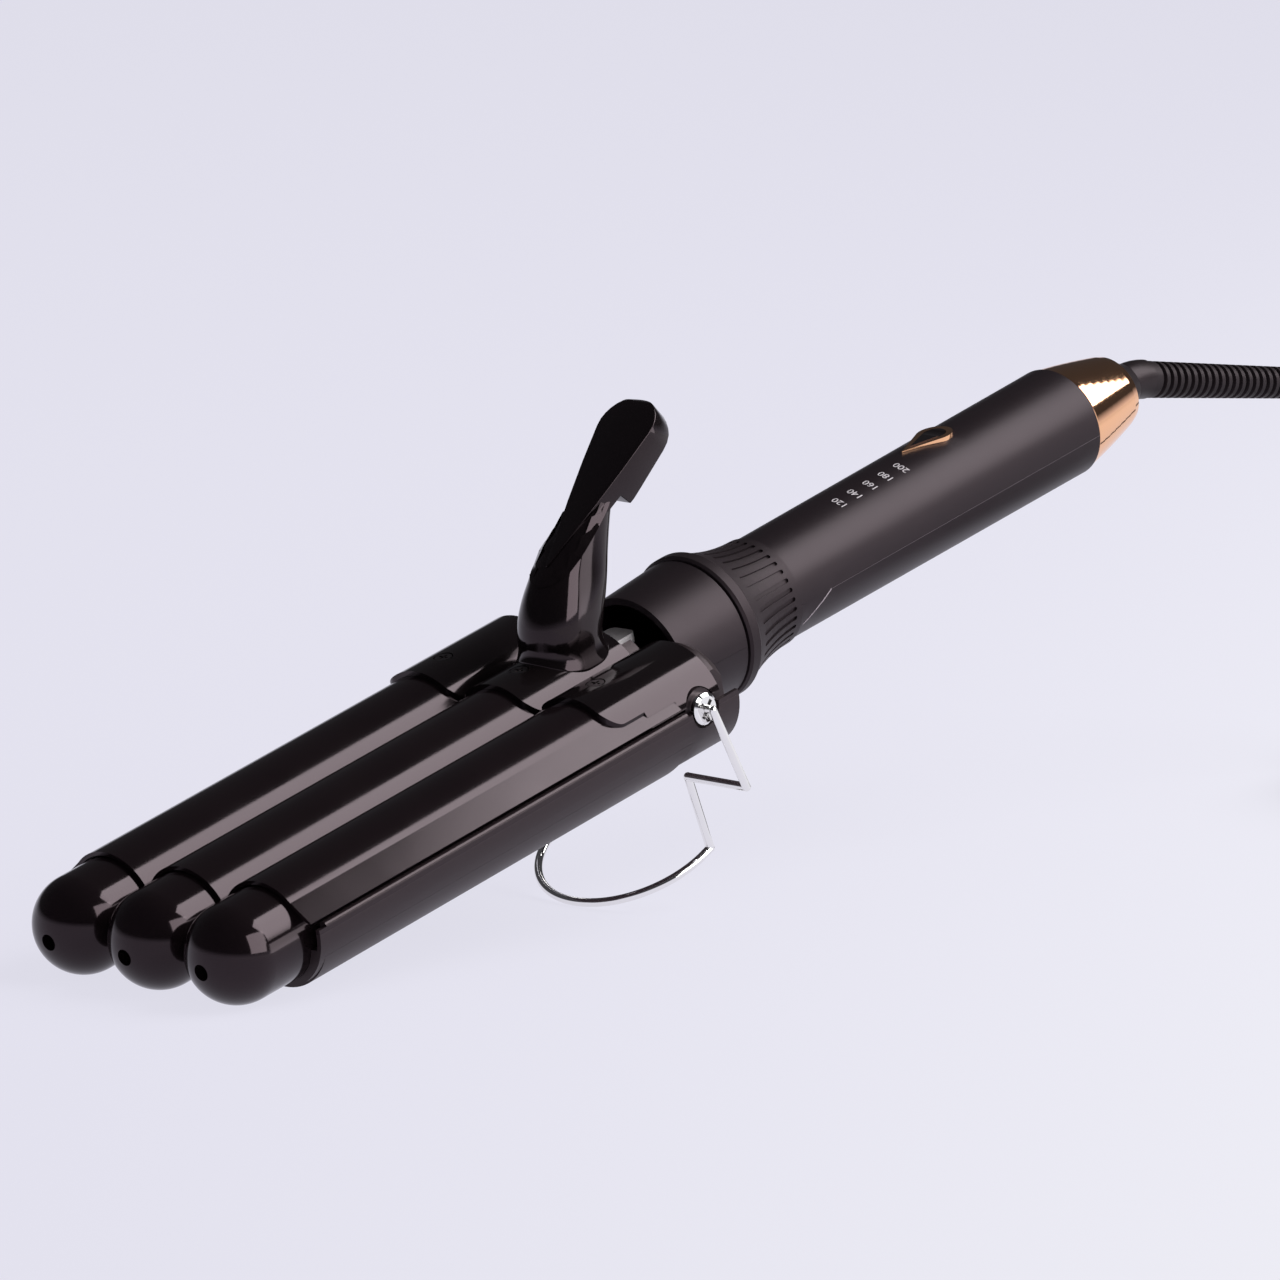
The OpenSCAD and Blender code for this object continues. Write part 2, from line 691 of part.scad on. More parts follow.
// Half width of the pad along its length
function pad_half(s) = let (round_s = pad_len - pad_w / 2, r = pad_w / 2)
    s > round_s ? sqrt(max(0, r * r - (s - round_s) * (s - round_s)))
    : r * (1 - pow(1 - s / round_s, 2.4)) * (0.56 + 0.44 * pow(s / round_s, 1.6));
pad_steps = 28;
module pad_outline() {
    s_list = [for (i = [0:pad_steps]) pad_len * (1 - cos(180 * i / pad_steps)) / 2];
    polygon(concat([for (s = s_list) [s, -pad_half(s)]],
                   [for (i = [pad_steps - 1:-1:1]) [s_list[i], pad_half(s_list[i])]]));
}
module thumb_pad_body() {
    pad_frame() intersection() {
        translate([0, 0, -pad_t]) linear_extrude(pad_t) pad_outline();
        // underside rises to the tip and stops short of the low end
        across_y(60) polygon([[0, 0], [0.8, -0.3], [13, -pad_t * 0.55 + 0.02],
                              [pad_notch - 0.6, -pad_t * 0.55 + 0.02],
                              [pad_notch, -pad_t], [pad_notch + 1.6, -pad_t], [pad_len - 5, -pad_t + 2],
                              [pad_len - 1.2, -pad_t + 3.4], [pad_len, -2.8], [pad_len, -1.2], [pad_len - 1.2, 0]]);
    }
}

// Bright steel tongue that sticks out behind the lever's foot
tongue_w = 8;
tongue_t = 2.6;
tongue_z = 8;
tongue_len = 22;
module tongue_space() {
    translate([hinge_x - 12, -tongue_w / 2 - 0.05, tongue_z - 0.05]) cube([40, tongue_w + 0.1, tongue_t + 0.1]);
}
module stop_tongue_body() {
    tip_x = neck_x - 1;
    translate([0, 0, tongue_z]) linear_extrude(tongue_t) {
        translate([tip_x - tongue_len, -tongue_w / 2]) square([tongue_len - 2, tongue_w]);
        translate([tip_x - 3, -tongue_w / 2 + 2]) square([3, tongue_w - 4]);
        for (side = [-1, 1]) translate([tip_x - 2, side * (tongue_w / 2 - 2)]) circle(r = 2);
    }
}

// ---- Stand ----------------------------------------------------------------
// One bent wire: round rods with a ball at each turn and a half-round loop
module rod(a, b) {
    v = b - a;
    translate(a) rotate([0, acos(v[2] / norm(v)), atan2(v[1], v[0])])
        cylinder(d = wire_d, h = norm(v), $fn = 32);
}
module ball(p) {
    translate(p) sphere(d = wire_d + 0.06, $fn = 32);
}
wire_tip = [hinge_x, cheek_face_y - 2.8, hinge_z];
wire_top = [hinge_x, stand_outer_y, hinge_z];
wire_jog = [jog_x, stand_outer_y, jog_z];
wire_knee = [jog_x, stand_inner_y, jog_z];
wire_foot = [foot_x, stand_inner_y, foot_z];
wire_bend = wire_foot + loop_straight * [-cos(loop_dip), 0, -sin(loop_dip)];
module stand_side() {
    rod(wire_tip, wire_top);
    rod(wire_top, wire_jog);
    rod(wire_jog, wire_knee);
    rod(wire_knee, wire_foot);
    rod(wire_foot, wire_bend);
    for (turn = [wire_top, wire_jog, wire_knee, wire_foot, wire_bend]) ball(turn);
}
module stand_wire_body() {
    stand_side();
    mirror([0, 1, 0]) stand_side();
    translate([wire_bend[0], 0, wire_bend[2]]) rotate([0, -loop_dip, 0]) rotate([0, 0, 90])
        rotate_extrude(angle = 180, $fn = 96) translate([stand_inner_y, 0]) circle(d = wire_d, $fn = 32);
}

// ---- Handle ---------------------------------------------------------------
// Outer outline of the handle shells: neck, seat under the collar, grip and rear spigot
seat_r = grip_front_r - 0.9;
module handle_profile(inset) {
    front_x = tray_end_x - 5;
    polygon([[front_x, 0], [front_x, neck_front_r - inset - 0.3], [neck_x, neck_front_r - inset],
             [collar_x - 0.5 - inset * 0.4, neck_rear_r - inset],
             [collar_x - 0.5 - inset * 0.4, seat_r - inset], [grip_x, seat_r - inset],
             [grip_x, grip_front_r - inset], [ring_x, grip_rear_r - inset],
             [ring_x, grip_rear_r - 1.6 - inset], [ring_x + 12, grip_rear_r - 4.4 - inset],
             [ring_x + 12, 0]]);
}
module handle_solid(inset) {
    translate([0, 0, handle_z]) rotate([0, 90, 0]) rotate_extrude($fn = 96)
        rotate([0, 0, 90]) mirror([0, 1, 0]) handle_profile(inset);
}
module handle_shell() {
    difference() {
        handle_solid(0);
        difference() {
            handle_solid(shell_wall);
            translate([ring_x + 8, -30, -30]) cube([10, 60, 60]);
        }
        tube_x(tray_end_x - 8, neck_front_r - shell_wall, 12);
        translate([0, 0, handle_z]) tube_x(ring_x, journal_r + running_play, 20);
        jaw_sweep();
    }
}
// Side outline of the upper shell, with the slanted corner of the seam
corner_x = grip_x + 1.5;
module upper_region(play) {
    across_y(60) polygon([[neck_x, 40], [neck_x, seam_z + play], [corner_x, seam_z + play],
                          [corner_x, seam_z - 6 + play], [corner_x + 10, seam_z + play],
                          [ring_x + 20, seam_z + play], [ring_x + 20, 40]]);
}
module handle_upper_shell_body() {
    difference() {
        union() {
            intersection() {
                handle_shell();
                upper_region(shell_split_play);
            }
            // bosses that come down on the lower shell's posts
            for (x = shell_screw_xs) translate([x, 0, post_top_z + shell_split_play])
                cylinder(r = boss_r, h = grip_front_r - post_top_z);
        }
        for (x = shell_screw_xs) translate([x, 0, post_top_z - 1]) cylinder(d = 2.3, h = 6);
        button_opening();
    }
}
module handle_lower_shell_body() {
    difference() {
        union() {
            intersection() {
                handle_shell();
                difference() {
                    translate([tray_end_x - 4, -40, -40]) cube([300, 80, 60]);
                    upper_region(0);
                    // open top in front of the neck's rim
                    translate([tray_end_x - 6, -40, hinge_z + 4]) cube([neck_x - tray_end_x + 6.2, 80, 60]);
                }
            }
            // posts for the shell screws
            for (x = shell_screw_xs) translate([x, 0, handle_z - grip_front_r + 0.9])
                cylinder(r = 3, h = post_top_z - handle_z + grip_front_r - 0.9);
            // posts that carry the board
            for (x = [board_x + 3, board_x + board_len - 3], side = [-1, 1])
                translate([x, side * 7.5, handle_z - 9.8]) cylinder(r = 1.8, h = board_z - handle_z + 9.8, $fn = 32);
        }
        for (x = shell_screw_xs) translate([x, 0, handle_z - grip_rear_r - 1]) {
            cylinder(d = 4.8, h = 4.2);
            cylinder(d = 2.4, h = 20);
        }
        neck_root_space();
    }
}
module neck_root_space() {
    translate([liner_x - 3, -12.1, tray_floor_z - 0.05]) cube([tray_end_x - liner_x + 7.1, 24.2, 1.5]);
}
shell_screw_xs = [board_x + 19.5, ring_x - 12];
post_top_z = -5.5;
boss_r = 2.6;
module shell_screws_body() {
    for (x = shell_screw_xs) translate([x, 0, handle_z - grip_rear_r + 1.4]) small_screw(4.4, 1.6, 2.2, 9);
}

// Collar: a lip, a hollow flare and round-ended flutes
lip_len = 4.4;
function collar_r(f) = grip_front_r + 0.5 + (collar_lip_r - grip_front_r - 1.1) * pow(1 - f, 2);
collar_steps = 6;
module collar_profile(inset) {
    flare_len = collar_len - lip_len - 0.3;
    polygon(concat([[0.15, seat_r + seat_gap], [0.15, collar_lip_r - 0.5 - inset], [0.9, collar_lip_r - inset],
                    [lip_len - 0.8, collar_lip_r - inset]],
                   [for (i = [0:collar_steps]) [lip_len + flare_len * i / collar_steps,
                                                collar_r(i / collar_steps) - inset]],
                   [[lip_len + flare_len, seat_r + seat_gap]]));
}
module collar_solid(inset) {
    rotate([0, 90, 0]) rotate_extrude($fn = 96) rotate([0, 0, 90]) mirror([0, 1, 0]) collar_profile(inset);
}
flute_w = 1.1;
flute_depth = 0.55;
module flute_cut() {
    from = lip_len + 3.4;
    to = collar_len - 3;
    translate([0, 0, grip_front_r - 1]) linear_extrude(8) {
        translate([from, -flute_w / 2]) square([to - from, flute_w]);
        for (x = [from, to]) translate([x, 0]) circle(d = flute_w, $fn = 16);
    }
}
module ribbed_collar_body() {
    translate([collar_x, 0, handle_z]) {
        difference() {
            collar_solid(0);
            for (i = [0:flutes - 1]) rotate([360 * (i + 0.5) / flutes, 0, 0]) flute_cut();
        }
        collar_solid(flute_depth);
    }
}

// ---- Button and control ----------------------------------------------------
// Drop outline with its point towards the barrels
module drop_outline(len, width) {
    r = width / 2;
    reach = len - r;
    touch = acos(r / reach);
    circle(r = r);
    polygon([[-reach, 0], [-r * cos(touch), r * sin(touch)], [-r * cos(touch), -r * sin(touch)]]);
}
button_top_z = handle_z + grip_front_r + (grip_rear_r - grip_front_r) * (button_x - grip_x) / grip_len;
module on_button(z) {
    translate([button_x, 0, button_top_z + z]) children();
}
bezel_h = 3;
bezel_rise = 0.35;
module button_opening() {
    on_button(-5) linear_extrude(12) drop_outline(bezel_len - 2 + 0.1, bezel_w - 1.4 + 0.1);
}
module button_bezel_body() {
    difference() {
        union() {
            on_button(-bezel_h) linear_extrude(bezel_h + bezel_rise) drop_outline(bezel_len - 2, bezel_w - 1.4);
            intersection() {
                on_button(-bezel_h) linear_extrude(bezel_h + bezel_rise) drop_outline(bezel_len, bezel_w);
                translate([0, 0, handle_z]) difference() {
                    tube_x(button_x - bezel_len, grip_rear_r + 2, 2 * bezel_len);
                    tube_x(button_x - bezel_len - 1, button_top_z - handle_z + 0.03, 2 * bezel_len + 2);
                }
            }
        }
        on_button(-bezel_h - 1) linear_extrude(bezel_h + 3) drop_outline(bezel_len - 4.6, bezel_w - 3.4);
    }
}
button_play = 0.15;
module power_button_body() {
    difference() {
        union() {
            on_button(-bezel_h - 1) linear_extrude(bezel_h + 1.5) drop_outline(bezel_len - 4.6 - 2.4 * button_play, bezel_w - 3.4 - 2 * button_play);
            on_button(-bezel_h - 1.2) linear_extrude(1.2 - 0.05) drop_outline(bezel_len - 3, bezel_w - 1.8);
        }
        on_button(8.1) rotate([90, 0, 0]) cylinder(r = 7.8, h = 20, center = true);
    }
}
module control_board_body() {
    difference() {
        translate([board_x, -board_w / 2, board_z]) cube([board_len, board_w, board_t]);
        translate([shell_screw_xs[0], 0, 0]) cylinder(r = boss_r + 0.3, h = 20);
    }
    for (x = [8, 24, 36]) translate([board_x + x, -6, board_z - 4]) cube([7, 6, 4 + eps]);
    for (x = [10:6:34]) translate([board_x + x, 4, board_z + board_t - eps]) cube([1.6, 0.8, 0.6]);
}
module button_switch_body() {
    switch_top = button_top_z - bezel_h - 1.2 - button_travel - 0.05;
    translate([button_x - 3, -3, board_z + board_t]) cube([6, 6, switch_top - board_z - board_t - 0.4]);
    translate([button_x, 0, board_z + board_t]) cylinder(d = 3, h = switch_top - board_z - board_t, $fn = 32);
}
// Leads run out of the heaters, under the hinge pin, and rise to the board
lead_d = 1.6;
lead_z = -6;
module lead(points) {
    for (i = [0:len(points) - 2]) {
        v = points[i + 1] - points[i];
        translate(points[i]) rotate([0, acos(v[2] / norm(v)), atan2(v[1], v[0])])
            cylinder(d = lead_d, h = norm(v), $fn = 24);
        if (i > 0) translate(points[i]) sphere(d = lead_d, $fn = 24);
    }
}
module heater_leads_body() {
    heater_end_x = heater_x + heater_len;
    rise_x = board_x + 4;
    for (side = [-1, 1]) {
        lead([[heater_end_x, side * 1.6, lead_z], [rise_x, side * 1.6, lead_z], [rise_x, side * 1.6, board_z]]);
        lead([[heater_end_x, side * pitch, lead_z], [hinge_x - 2, side * pitch, lead_z],
              [hinge_x - 2, side * 4.2, lead_z], [rise_x, side * 4.2, lead_z], [rise_x, side * 4.2, board_z]]);
    }
}

// ---- Rear ring, swivel and cord ---------------------------------------------
module rear_ring_body() {
    steps = 8;
    function outer(f) = grip_rear_r - 0.35 - (grip_rear_r - 0.35 - ring_small_r) * pow(f, 1.25);
    translate([ring_x + 0.1, 0, handle_z]) rotate([0, 90, 0]) rotate_extrude($fn = 96)
        rotate([0, 0, 90]) mirror([0, 1, 0]) difference() {
            polygon(concat([[0, 0], [0, outer(0) - 0.4], [0.5, outer(0)]],
                           [for (i = [1:steps - 1]) [ring_len * i / steps, outer(i / steps)]],
                           [[ring_len - 0.7, ring_small_r], [ring_len, ring_small_r - 0.6], [ring_len, 0]]));
            polygon([[-1, -1], [-1, grip_rear_r - 1.55], [0, grip_rear_r - 1.55], [12, grip_rear_r - 4.35],
                     [12.2, ring_small_r - 1.6], [ring_len + 1, ring_small_r - 1.6], [ring_len + 1, -1]]);
        }
}

// Journal in the handle, a round cheek in the ring's mouth and a bent neck
module swivel_elbow_body() {
    translate([0, 0, handle_z]) {
        tube_x(ring_x + 6, journal_r + 2.2, 1.9);
        tube_x(ring_x + 7, journal_r, 8);
        tube_x(ring_x + 12.5, ring_small_r - 1.6 - running_play, ring_len - 12.5 + 0.8);
        translate([ring_end_x + 0.7, 0, 0]) rotate([0, 90, 0])
            cylinder(r1 = ring_small_r - 1.8, r2 = elbow_r + 0.4, h = elbow_start_x - ring_end_x - 0.2);
        translate([elbow_start_x, 0, -elbow_bend_r]) rotate([90, 0, 0]) rotate([0, 0, 90 - elbow_angle])
            rotate_extrude(angle = elbow_angle, $fn = 96) translate([elbow_bend_r, 0]) circle(r = elbow_r);
    }
}

// Along the cord's first stretch, straight out of the elbow
module relief_frame() {
    translate([elbow_end[0], 0, elbow_end[1]]) rotate([0, 90 + elbow_angle, 0]) children();
}
relief_ribs = 19;
module strain_relief_body() {
    rib_pitch = (relief_len - 6) / relief_ribs;
    function body_r(z) = relief_d / 2 - 0.9 + (relief_tip_r - relief_d / 2) * z / relief_len;
    relief_frame() rotate_extrude($fn = 40) polygon(concat([[0, 0], [relief_d / 2, 0], [relief_d / 2, 3]],
        [for (i = [0:relief_ribs - 1]) let (z = 3.4 + i * rib_pitch) each
            [[body_r(z), z], [body_r(z), z + rib_pitch * 0.3],
             [body_r(z) + 0.9, z + rib_pitch * 0.42], [body_r(z) + 0.9, z + rib_pitch * 0.88]]],
        [[relief_tip_r, relief_len - 1.6], [relief_tip_r, relief_len], [0, relief_len]]));
}

// Cord: a free stretch down to the surface, then a round coil, in the object's standing frame.
function stood(x, z) = [x * cos(rest_tilt) - z * sin(rest_tilt) - middle_x,
                        0, x * sin(rest_tilt) + z * cos(rest_tilt) + rest_lift];
cord_exit = stood(relief_tip[0], relief_tip[1]);
echo(cord_exit = cord_exit, cord_dir = elbow_angle - rest_tilt);

// The route's points between the strain relief and the coil, chosen by hand
cord_drop = [[229.5, 0, 98], [239.5, -1, 93.5], [247.5, -3.5, 86.5], [253, -7, 78], [256, -11.5, 68.5],
             [257.5, -17, 58.5], [257.5, -24, 48.5], [257.5, -33, 38], [257, -42, 27.5], [256.5, -50.5, 17.5],
             [256.5, -59.5, 9.5], [256.5, -70, 4.8]];
coil_middle = [217.5, -84];
coil_z = cord_d / 2 + 0.6;
coil_r = 39;
coil_turns = 7.5;
coil_layers = 4;
coil_step = cord_d + 0.6;
coil_rings = 24;
layer_turns = coil_turns / coil_layers;
cord_lead = concat([cord_exit, cord_exit + cord_d * [cos(7), 0, -sin(7)]], cord_drop,
                   [[coil_middle[0] + coil_r, coil_middle[1] + cord_d, coil_z]]);
// Turns wound towards the middle so far, counted back down on the layers that wind outwards
function wound(t) = let (u = t % (2 * layer_turns)) u < layer_turns ? u : 2 * layer_turns - u;
// Layers climbed so far, each in the half turn round the place where the spiral reverses
function climbed(t) = [for (k = [1:coil_layers - 1])
    let (f = max(0, min(1, (t - k * layer_turns + 0.25) / 0.5))) f * f * (3 - 2 * f)] * [for (k = [1:coil_layers - 1]) 1];
function coil_point(t) = [coil_middle[0] + (coil_r - coil_step * wound(t)) * cos(-360 * t),
                          coil_middle[1] + (coil_r - coil_step * wound(t)) * sin(-360 * t),
                          coil_z + coil_step * climbed(t)];
coil_points = concat([coil_point(0) + [0, cord_d, 0]],
                     [for (i = [0:coil_turns * coil_rings]) coil_point(i / coil_rings)],
                     [coil_point(coil_turns) + [0, cord_d, 0]]);
coil_end = coil_point(coil_turns) + [0, cord_d, 0];
plug_z = 6.9;
tail_points = [coil_end, [179, -66, 22], [180, -55, 19], [183, -44.5, 15.5], [188, -35.5, 12],
               [195, -28, 9], [203.5, -23, 7.3], [211.5, -21, plug_z], [217.5, -21, plug_z]];

function reach(p, i = 0) = i >= len(p) - 1 ? 0 : norm(p[i + 1] - p[i]) + reach(p, i + 1);
cord_len = reach(cord_lead) + reach(coil_points) + reach(tail_points);
// Least gap of the coil to itself, between points more than half a turn apart
coil_gap = min([for (i = [0:2:len(coil_points) - 1], j = [i + coil_rings / 2:1:len(coil_points) - 1])
    norm(coil_points[i] - coil_points[j])]) - cord_d;
echo(cord_len = cord_len, coil_gap = coil_gap);
echo(plug_end = plug_end[0] + plug_len, pin_ys = [plug_end[1] - pin_gap / 2, plug_end[1] + pin_gap / 2], plug_z = plug_z);

module coil_tie_body() {
    strap = 0.45;
    inner_low = coil_r - coil_step * layer_turns - cord_d / 2 - 0.3;
    inner_high = coil_r + cord_d / 2 + 0.3;
    top_z = coil_z + coil_step * (coil_layers - 1) + cord_d / 2 + 0.3;
    low_z = coil_z - cord_d / 2 - 0.1;
    translate([coil_middle[0], coil_middle[1], 0]) difference() {
        translate([-4, -inner_high - strap, low_z - strap])
            cube([8, inner_high - inner_low + 2 * strap, top_z - low_z + 2 * strap]);
        translate([-5, -inner_high, low_z]) cube([10, inner_high - inner_low, top_z - low_z]);
    }
}

// Flat two-pin plug that lies on the surface
plug_len = 26;
plug_w = 35.3;
plug_t = 13.7;
pin_len = 19;
pin_gap = 18.6;
plug_end = tail_points[len(tail_points) - 1];
module plug_frame() {
    translate(plug_end) children();
}
module plug_body_solid() {
    difference() {
        plug_frame() intersection() {
            translate([0, 0, -plug_t / 2]) linear_extrude(plug_t) polygon([
                [0, -6], [9, -7.5], [16, -plug_w / 2 + 1], [plug_len - 1, -plug_w / 2], [plug_len, -plug_w / 2 + 1],
                [plug_len, plug_w / 2 - 1], [plug_len - 1, plug_w / 2], [16, plug_w / 2 - 1], [9, 7.5], [0, 6]]);
            across_y(60) polygon([[0, -4.5], [10, -plug_t / 2 + 0.6], [plug_len, -plug_t / 2],
                                  [plug_len, plug_t / 2], [10, plug_t / 2 - 0.6], [0, 4.5]]);
        }
        plug_frame() for (side = [-1, 1]) translate([0, side * pin_gap / 2, 0])
            tube_x(plug_len - pin_root_len, pin_root_r + seat_gap, pin_root_len + 1);
    }
}
// Round pins on thinner roots that are moulded into the body
pin_r = 2;
pin_root_r = 1.5;
pin_root_len = 8;
module plug_pins_body() {
    plug_frame() for (side = [-1, 1]) translate([0, side * pin_gap / 2, 0]) {
        tube_x(plug_len - pin_root_len, pin_root_r, pin_root_len + eps);
        tube_x(plug_len, pin_r, pin_len - 1);
        translate([plug_len + pin_len - 1 - eps, 0, 0]) rotate([0, 90, 0]) cylinder(r1 = pin_r, r2 = 1.2, h = 1);
    }
}

// ---- The pieces where they stand -----------------------------------------------
module barrel_left() { color("#2a2226") placed() barrel(1); }
module barrel_middle() { color("#2a2226") placed() barrel(0); }
module barrel_right() { color("#2a2226") placed() barrel(-1); }
module tip_cap_left() { color("#241d20") placed() tip_cap(1); }
module tip_cap_middle() { color("#241d20") placed() tip_cap(0); }
module tip_cap_right() { color("#241d20") placed() tip_cap(-1); }
module heater_left() { color("silver") placed() heater(1); }
module heater_middle() { color("silver") placed() heater(0); }
module heater_right() { color("silver") placed() heater(-1); }
module tray_frame() { color("#3a3236") placed() tray_body(); }
module bottom_cover() { color("#332c30") placed() bottom_cover_body(); }
module cover_screws() { color("silver") placed() cover_screws_body(); }
module hinge_pin() { color("silver") placed() hinge_pin_body(); }
module hinge_screws() { color("silver") placed() both_sides() hinge_screw(); }
module clamp_spring() { color("silver") placed() clamp_spring_body(); }
module clamp_plate() { color("#2a2226") placed() clamp_plate_body(); }
module jaw_liner() { color("#3a3236") placed() jaw_liner_body(); }
module lever_bracket() { color("#241d20") placed() lever_bracket_body(); }
module thumb_lever() { color("#241d20") placed() thumb_lever_body(); }
module thumb_pad() { color("#2a2428") placed() thumb_pad_body(); }
module bracket_screws() { color("#1c1719") placed() bracket_screws_body(); }
module stop_tongue() { color("white") placed() stop_tongue_body(); }
module stand_wire() { color("silver") placed() stand_wire_body(); }
module handle_upper_shell() { color("#3a3035") placed() handle_upper_shell_body(); }
module handle_lower_shell() { color("#382e33") placed() handle_lower_shell_body(); }
module shell_screws() { color("silver") placed() shell_screws_body(); }
module ribbed_collar() { color("#332c2f") placed() ribbed_collar_body(); }
module button_bezel() { color("#d9a07a") placed() button_bezel_body(); }
module power_button() { color("#2a2428") placed() power_button_body(); }
module button_switch() { color("gray") placed() button_switch_body(); }
module control_board() { color("seagreen") placed() control_board_body(); }
module heater_leads() { color("white") placed() heater_leads_body(); }
module rear_ring() { color("#d9a07a") placed() rear_ring_body(); }
module swivel_elbow() { color("#2c2629") placed() swivel_elbow_body(); }
module strain_relief() { color("#221d1f") placed() strain_relief_body(); }
module cord() { color("#221d1f") sweep(cord_lead, [for (p = cord_lead) cord_d / 2], 8, [0, 1, 0]); }
module cord_coil() { color("#221d1f") sweep(coil_points, [for (p = coil_points) cord_d / 2], 6, [1, 0, 0]); }
module cord_tie() { color("#151213") coil_tie_body(); }
module cord_tail() { color("#221d1f") sweep(tail_points, [for (p = tail_points) cord_d / 2], 8, [1, 0, 0]); }
module plug_body() { color("#221d1f") plug_body_solid(); }
module plug_pins() { color("silver") plug_pins_body(); }

barrel_left();
barrel_middle();
barrel_right();
tip_cap_left();
tip_cap_middle();
tip_cap_right();
heater_left();
heater_middle();
heater_right();
tray_frame();
bottom_cover();
cover_screws();
hinge_pin();
hinge_screws();
clamp_spring();
clamp_plate();
jaw_liner();
lever_bracket();
thumb_lever();
thumb_pad();
bracket_screws();
stop_tongue();
stand_wire();
handle_upper_shell();
handle_lower_shell();
shell_screws();
ribbed_collar();
button_bezel();
power_button();
button_switch();
control_board();
heater_leads();
rear_ring();
swivel_elbow();
strain_relief();
cord();
cord_coil();
cord_tie();
cord_tail();
plug_body();
plug_pins();
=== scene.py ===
# %% [markdown]
# # A hair waver with three barrels
# This lesson dresses a CAD model of a hair waver. The CAD part already has every piece in
# its right place and size, and moves at its joints. Here its pieces get their real finishes,
# and the forms that are softer than a CAD solid, such as the cord, are modelled anew.
# First the frame is loaded. Nothing that is added may make it bigger.

# %% Load the frame
import json
import math

import bmesh
import bpy
from mathutils import Matrix, Vector


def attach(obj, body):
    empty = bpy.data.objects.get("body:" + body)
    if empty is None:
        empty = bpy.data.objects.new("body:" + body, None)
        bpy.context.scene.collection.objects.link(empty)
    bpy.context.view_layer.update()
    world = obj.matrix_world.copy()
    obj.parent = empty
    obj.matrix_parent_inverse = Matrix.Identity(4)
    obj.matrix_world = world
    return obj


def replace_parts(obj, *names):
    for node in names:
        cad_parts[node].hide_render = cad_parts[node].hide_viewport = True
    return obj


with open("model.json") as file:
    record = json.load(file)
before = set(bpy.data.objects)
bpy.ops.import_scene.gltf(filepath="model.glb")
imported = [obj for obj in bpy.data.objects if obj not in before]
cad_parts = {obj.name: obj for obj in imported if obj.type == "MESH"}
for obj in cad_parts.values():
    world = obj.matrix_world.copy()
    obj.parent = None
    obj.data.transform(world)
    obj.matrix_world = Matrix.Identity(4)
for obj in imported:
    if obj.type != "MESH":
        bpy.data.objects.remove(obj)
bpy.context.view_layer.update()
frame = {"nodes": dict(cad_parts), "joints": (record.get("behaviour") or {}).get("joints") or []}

nodes = frame["nodes"]

# %% [markdown]
# The waver stands tilted, on its caps and its wire stand. It is easier to model a piece as
# it was drawn, lying along X with the tips at zero, and to tilt it afterwards. The matrix
# `lie` does that. It comes from two joints of the frame: the swivel's axis runs along the
# handle, and the clamp's hinge is a point that is known in both places.

# %% Find how the waver lies
MM = 0.001
HINGE = Vector((165, 0, 2.4)) * MM
joints = {joint["name"]: joint for joint in frame["joints"]}
along = Vector(joints["cord_turn"]["axis"]).normalized()
across = Vector((0, 1, 0))
lie = Matrix((along, across, along.cross(across))).transposed().to_4x4()
lie.translation = Vector(joints["clamp_hinge"]["pos_m"]) - lie @ HINGE
tilt = math.atan2(along.z, along.x)
print("tilt in degrees:", round(math.degrees(tilt), 2))

# %% [markdown]
# ## Camera
# The photograph was taken from the tip end with a long lens, a little from above. A long
# lens far away keeps the three barrels almost parallel in the picture.

# %% Set the camera
camera_data = bpy.data.cameras.new("camera")
camera_data.sensor_width = 36
camera_data.lens = 337.5
camera = bpy.data.objects.new("camera", camera_data)
camera.location = (-2.193247, -1.96263, 0.57487)
camera.rotation_euler = (1.39724, -0.009775, -0.831051)
bpy.context.scene.collection.objects.link(camera)
bpy.context.scene.camera = camera
print("camera at", tuple(round(v, 2) for v in camera.location))

# %% [markdown]
# ## Mains cord
# The cord is a curve with a round bevel that is made a mesh. The line through its points
# is the cord's length. It leaves the strain relief, drops to the table in one bend, and is
# wound for storage in four layers with a tie round them. Its far end comes off the top of
# the coil and runs down to the plug. The route repeats the one of the CAD part, so the
# cord lies where its solids are.

# %% Lay out the cord's route
CORD_D = 6
COIL_MIDDLE = (217.5, -84)
COIL_LOW, COIL_R, COIL_STEP = 3.6, 39, 6.6
COIL_TURNS, COIL_LAYERS, POINTS_PER_TURN = 7.5, 4, 24
LAYER_TURNS = COIL_TURNS / COIL_LAYERS
CLIMB_TURNS = 0.5
drop = [(215.617, 0, 100.915), (221.572, 0, 100.184), (229.5, 0, 98), (239.5, -1, 93.5),
        (247.5, -3.5, 86.5), (253, -7, 78), (256, -11.5, 68.5), (257.5, -17, 58.5),
        (257.5, -24, 48.5), (257.5, -33, 38), (257, -42, 27.5), (256.5, -50.5, 17.5),
        (256.5, -59.5, 9.5), (256.5, -70, 4.8), (256.5, -78, 3.6)]
tail = [(179, -66, 22), (180, -55, 19), (183, -44.5, 15.5), (188, -35.5, 12),
        (195, -28, 9), (203.5, -23, 7.3), (211.5, -21, 6.9), (217.5, -21, 6.9)]


def coil_place(turn):
    """A point of the coil: it winds inwards on one layer and outwards on the next."""
    inwards = turn % (2 * LAYER_TURNS)
    if inwards > LAYER_TURNS:
        inwards = 2 * LAYER_TURNS - inwards
    rise = 0
    for layer in range(1, COIL_LAYERS):
        part = min(1, max(0, (turn - layer * LAYER_TURNS + CLIMB_TURNS / 2) / CLIMB_TURNS))
        rise += part * part * (3 - 2 * part)
    radius = COIL_R - COIL_STEP * inwards
    angle = -math.tau * turn
    return (COIL_MIDDLE[0] + radius * math.cos(angle), COIL_MIDDLE[1] + radius * math.sin(angle),
            COIL_LOW + COIL_STEP * rise)


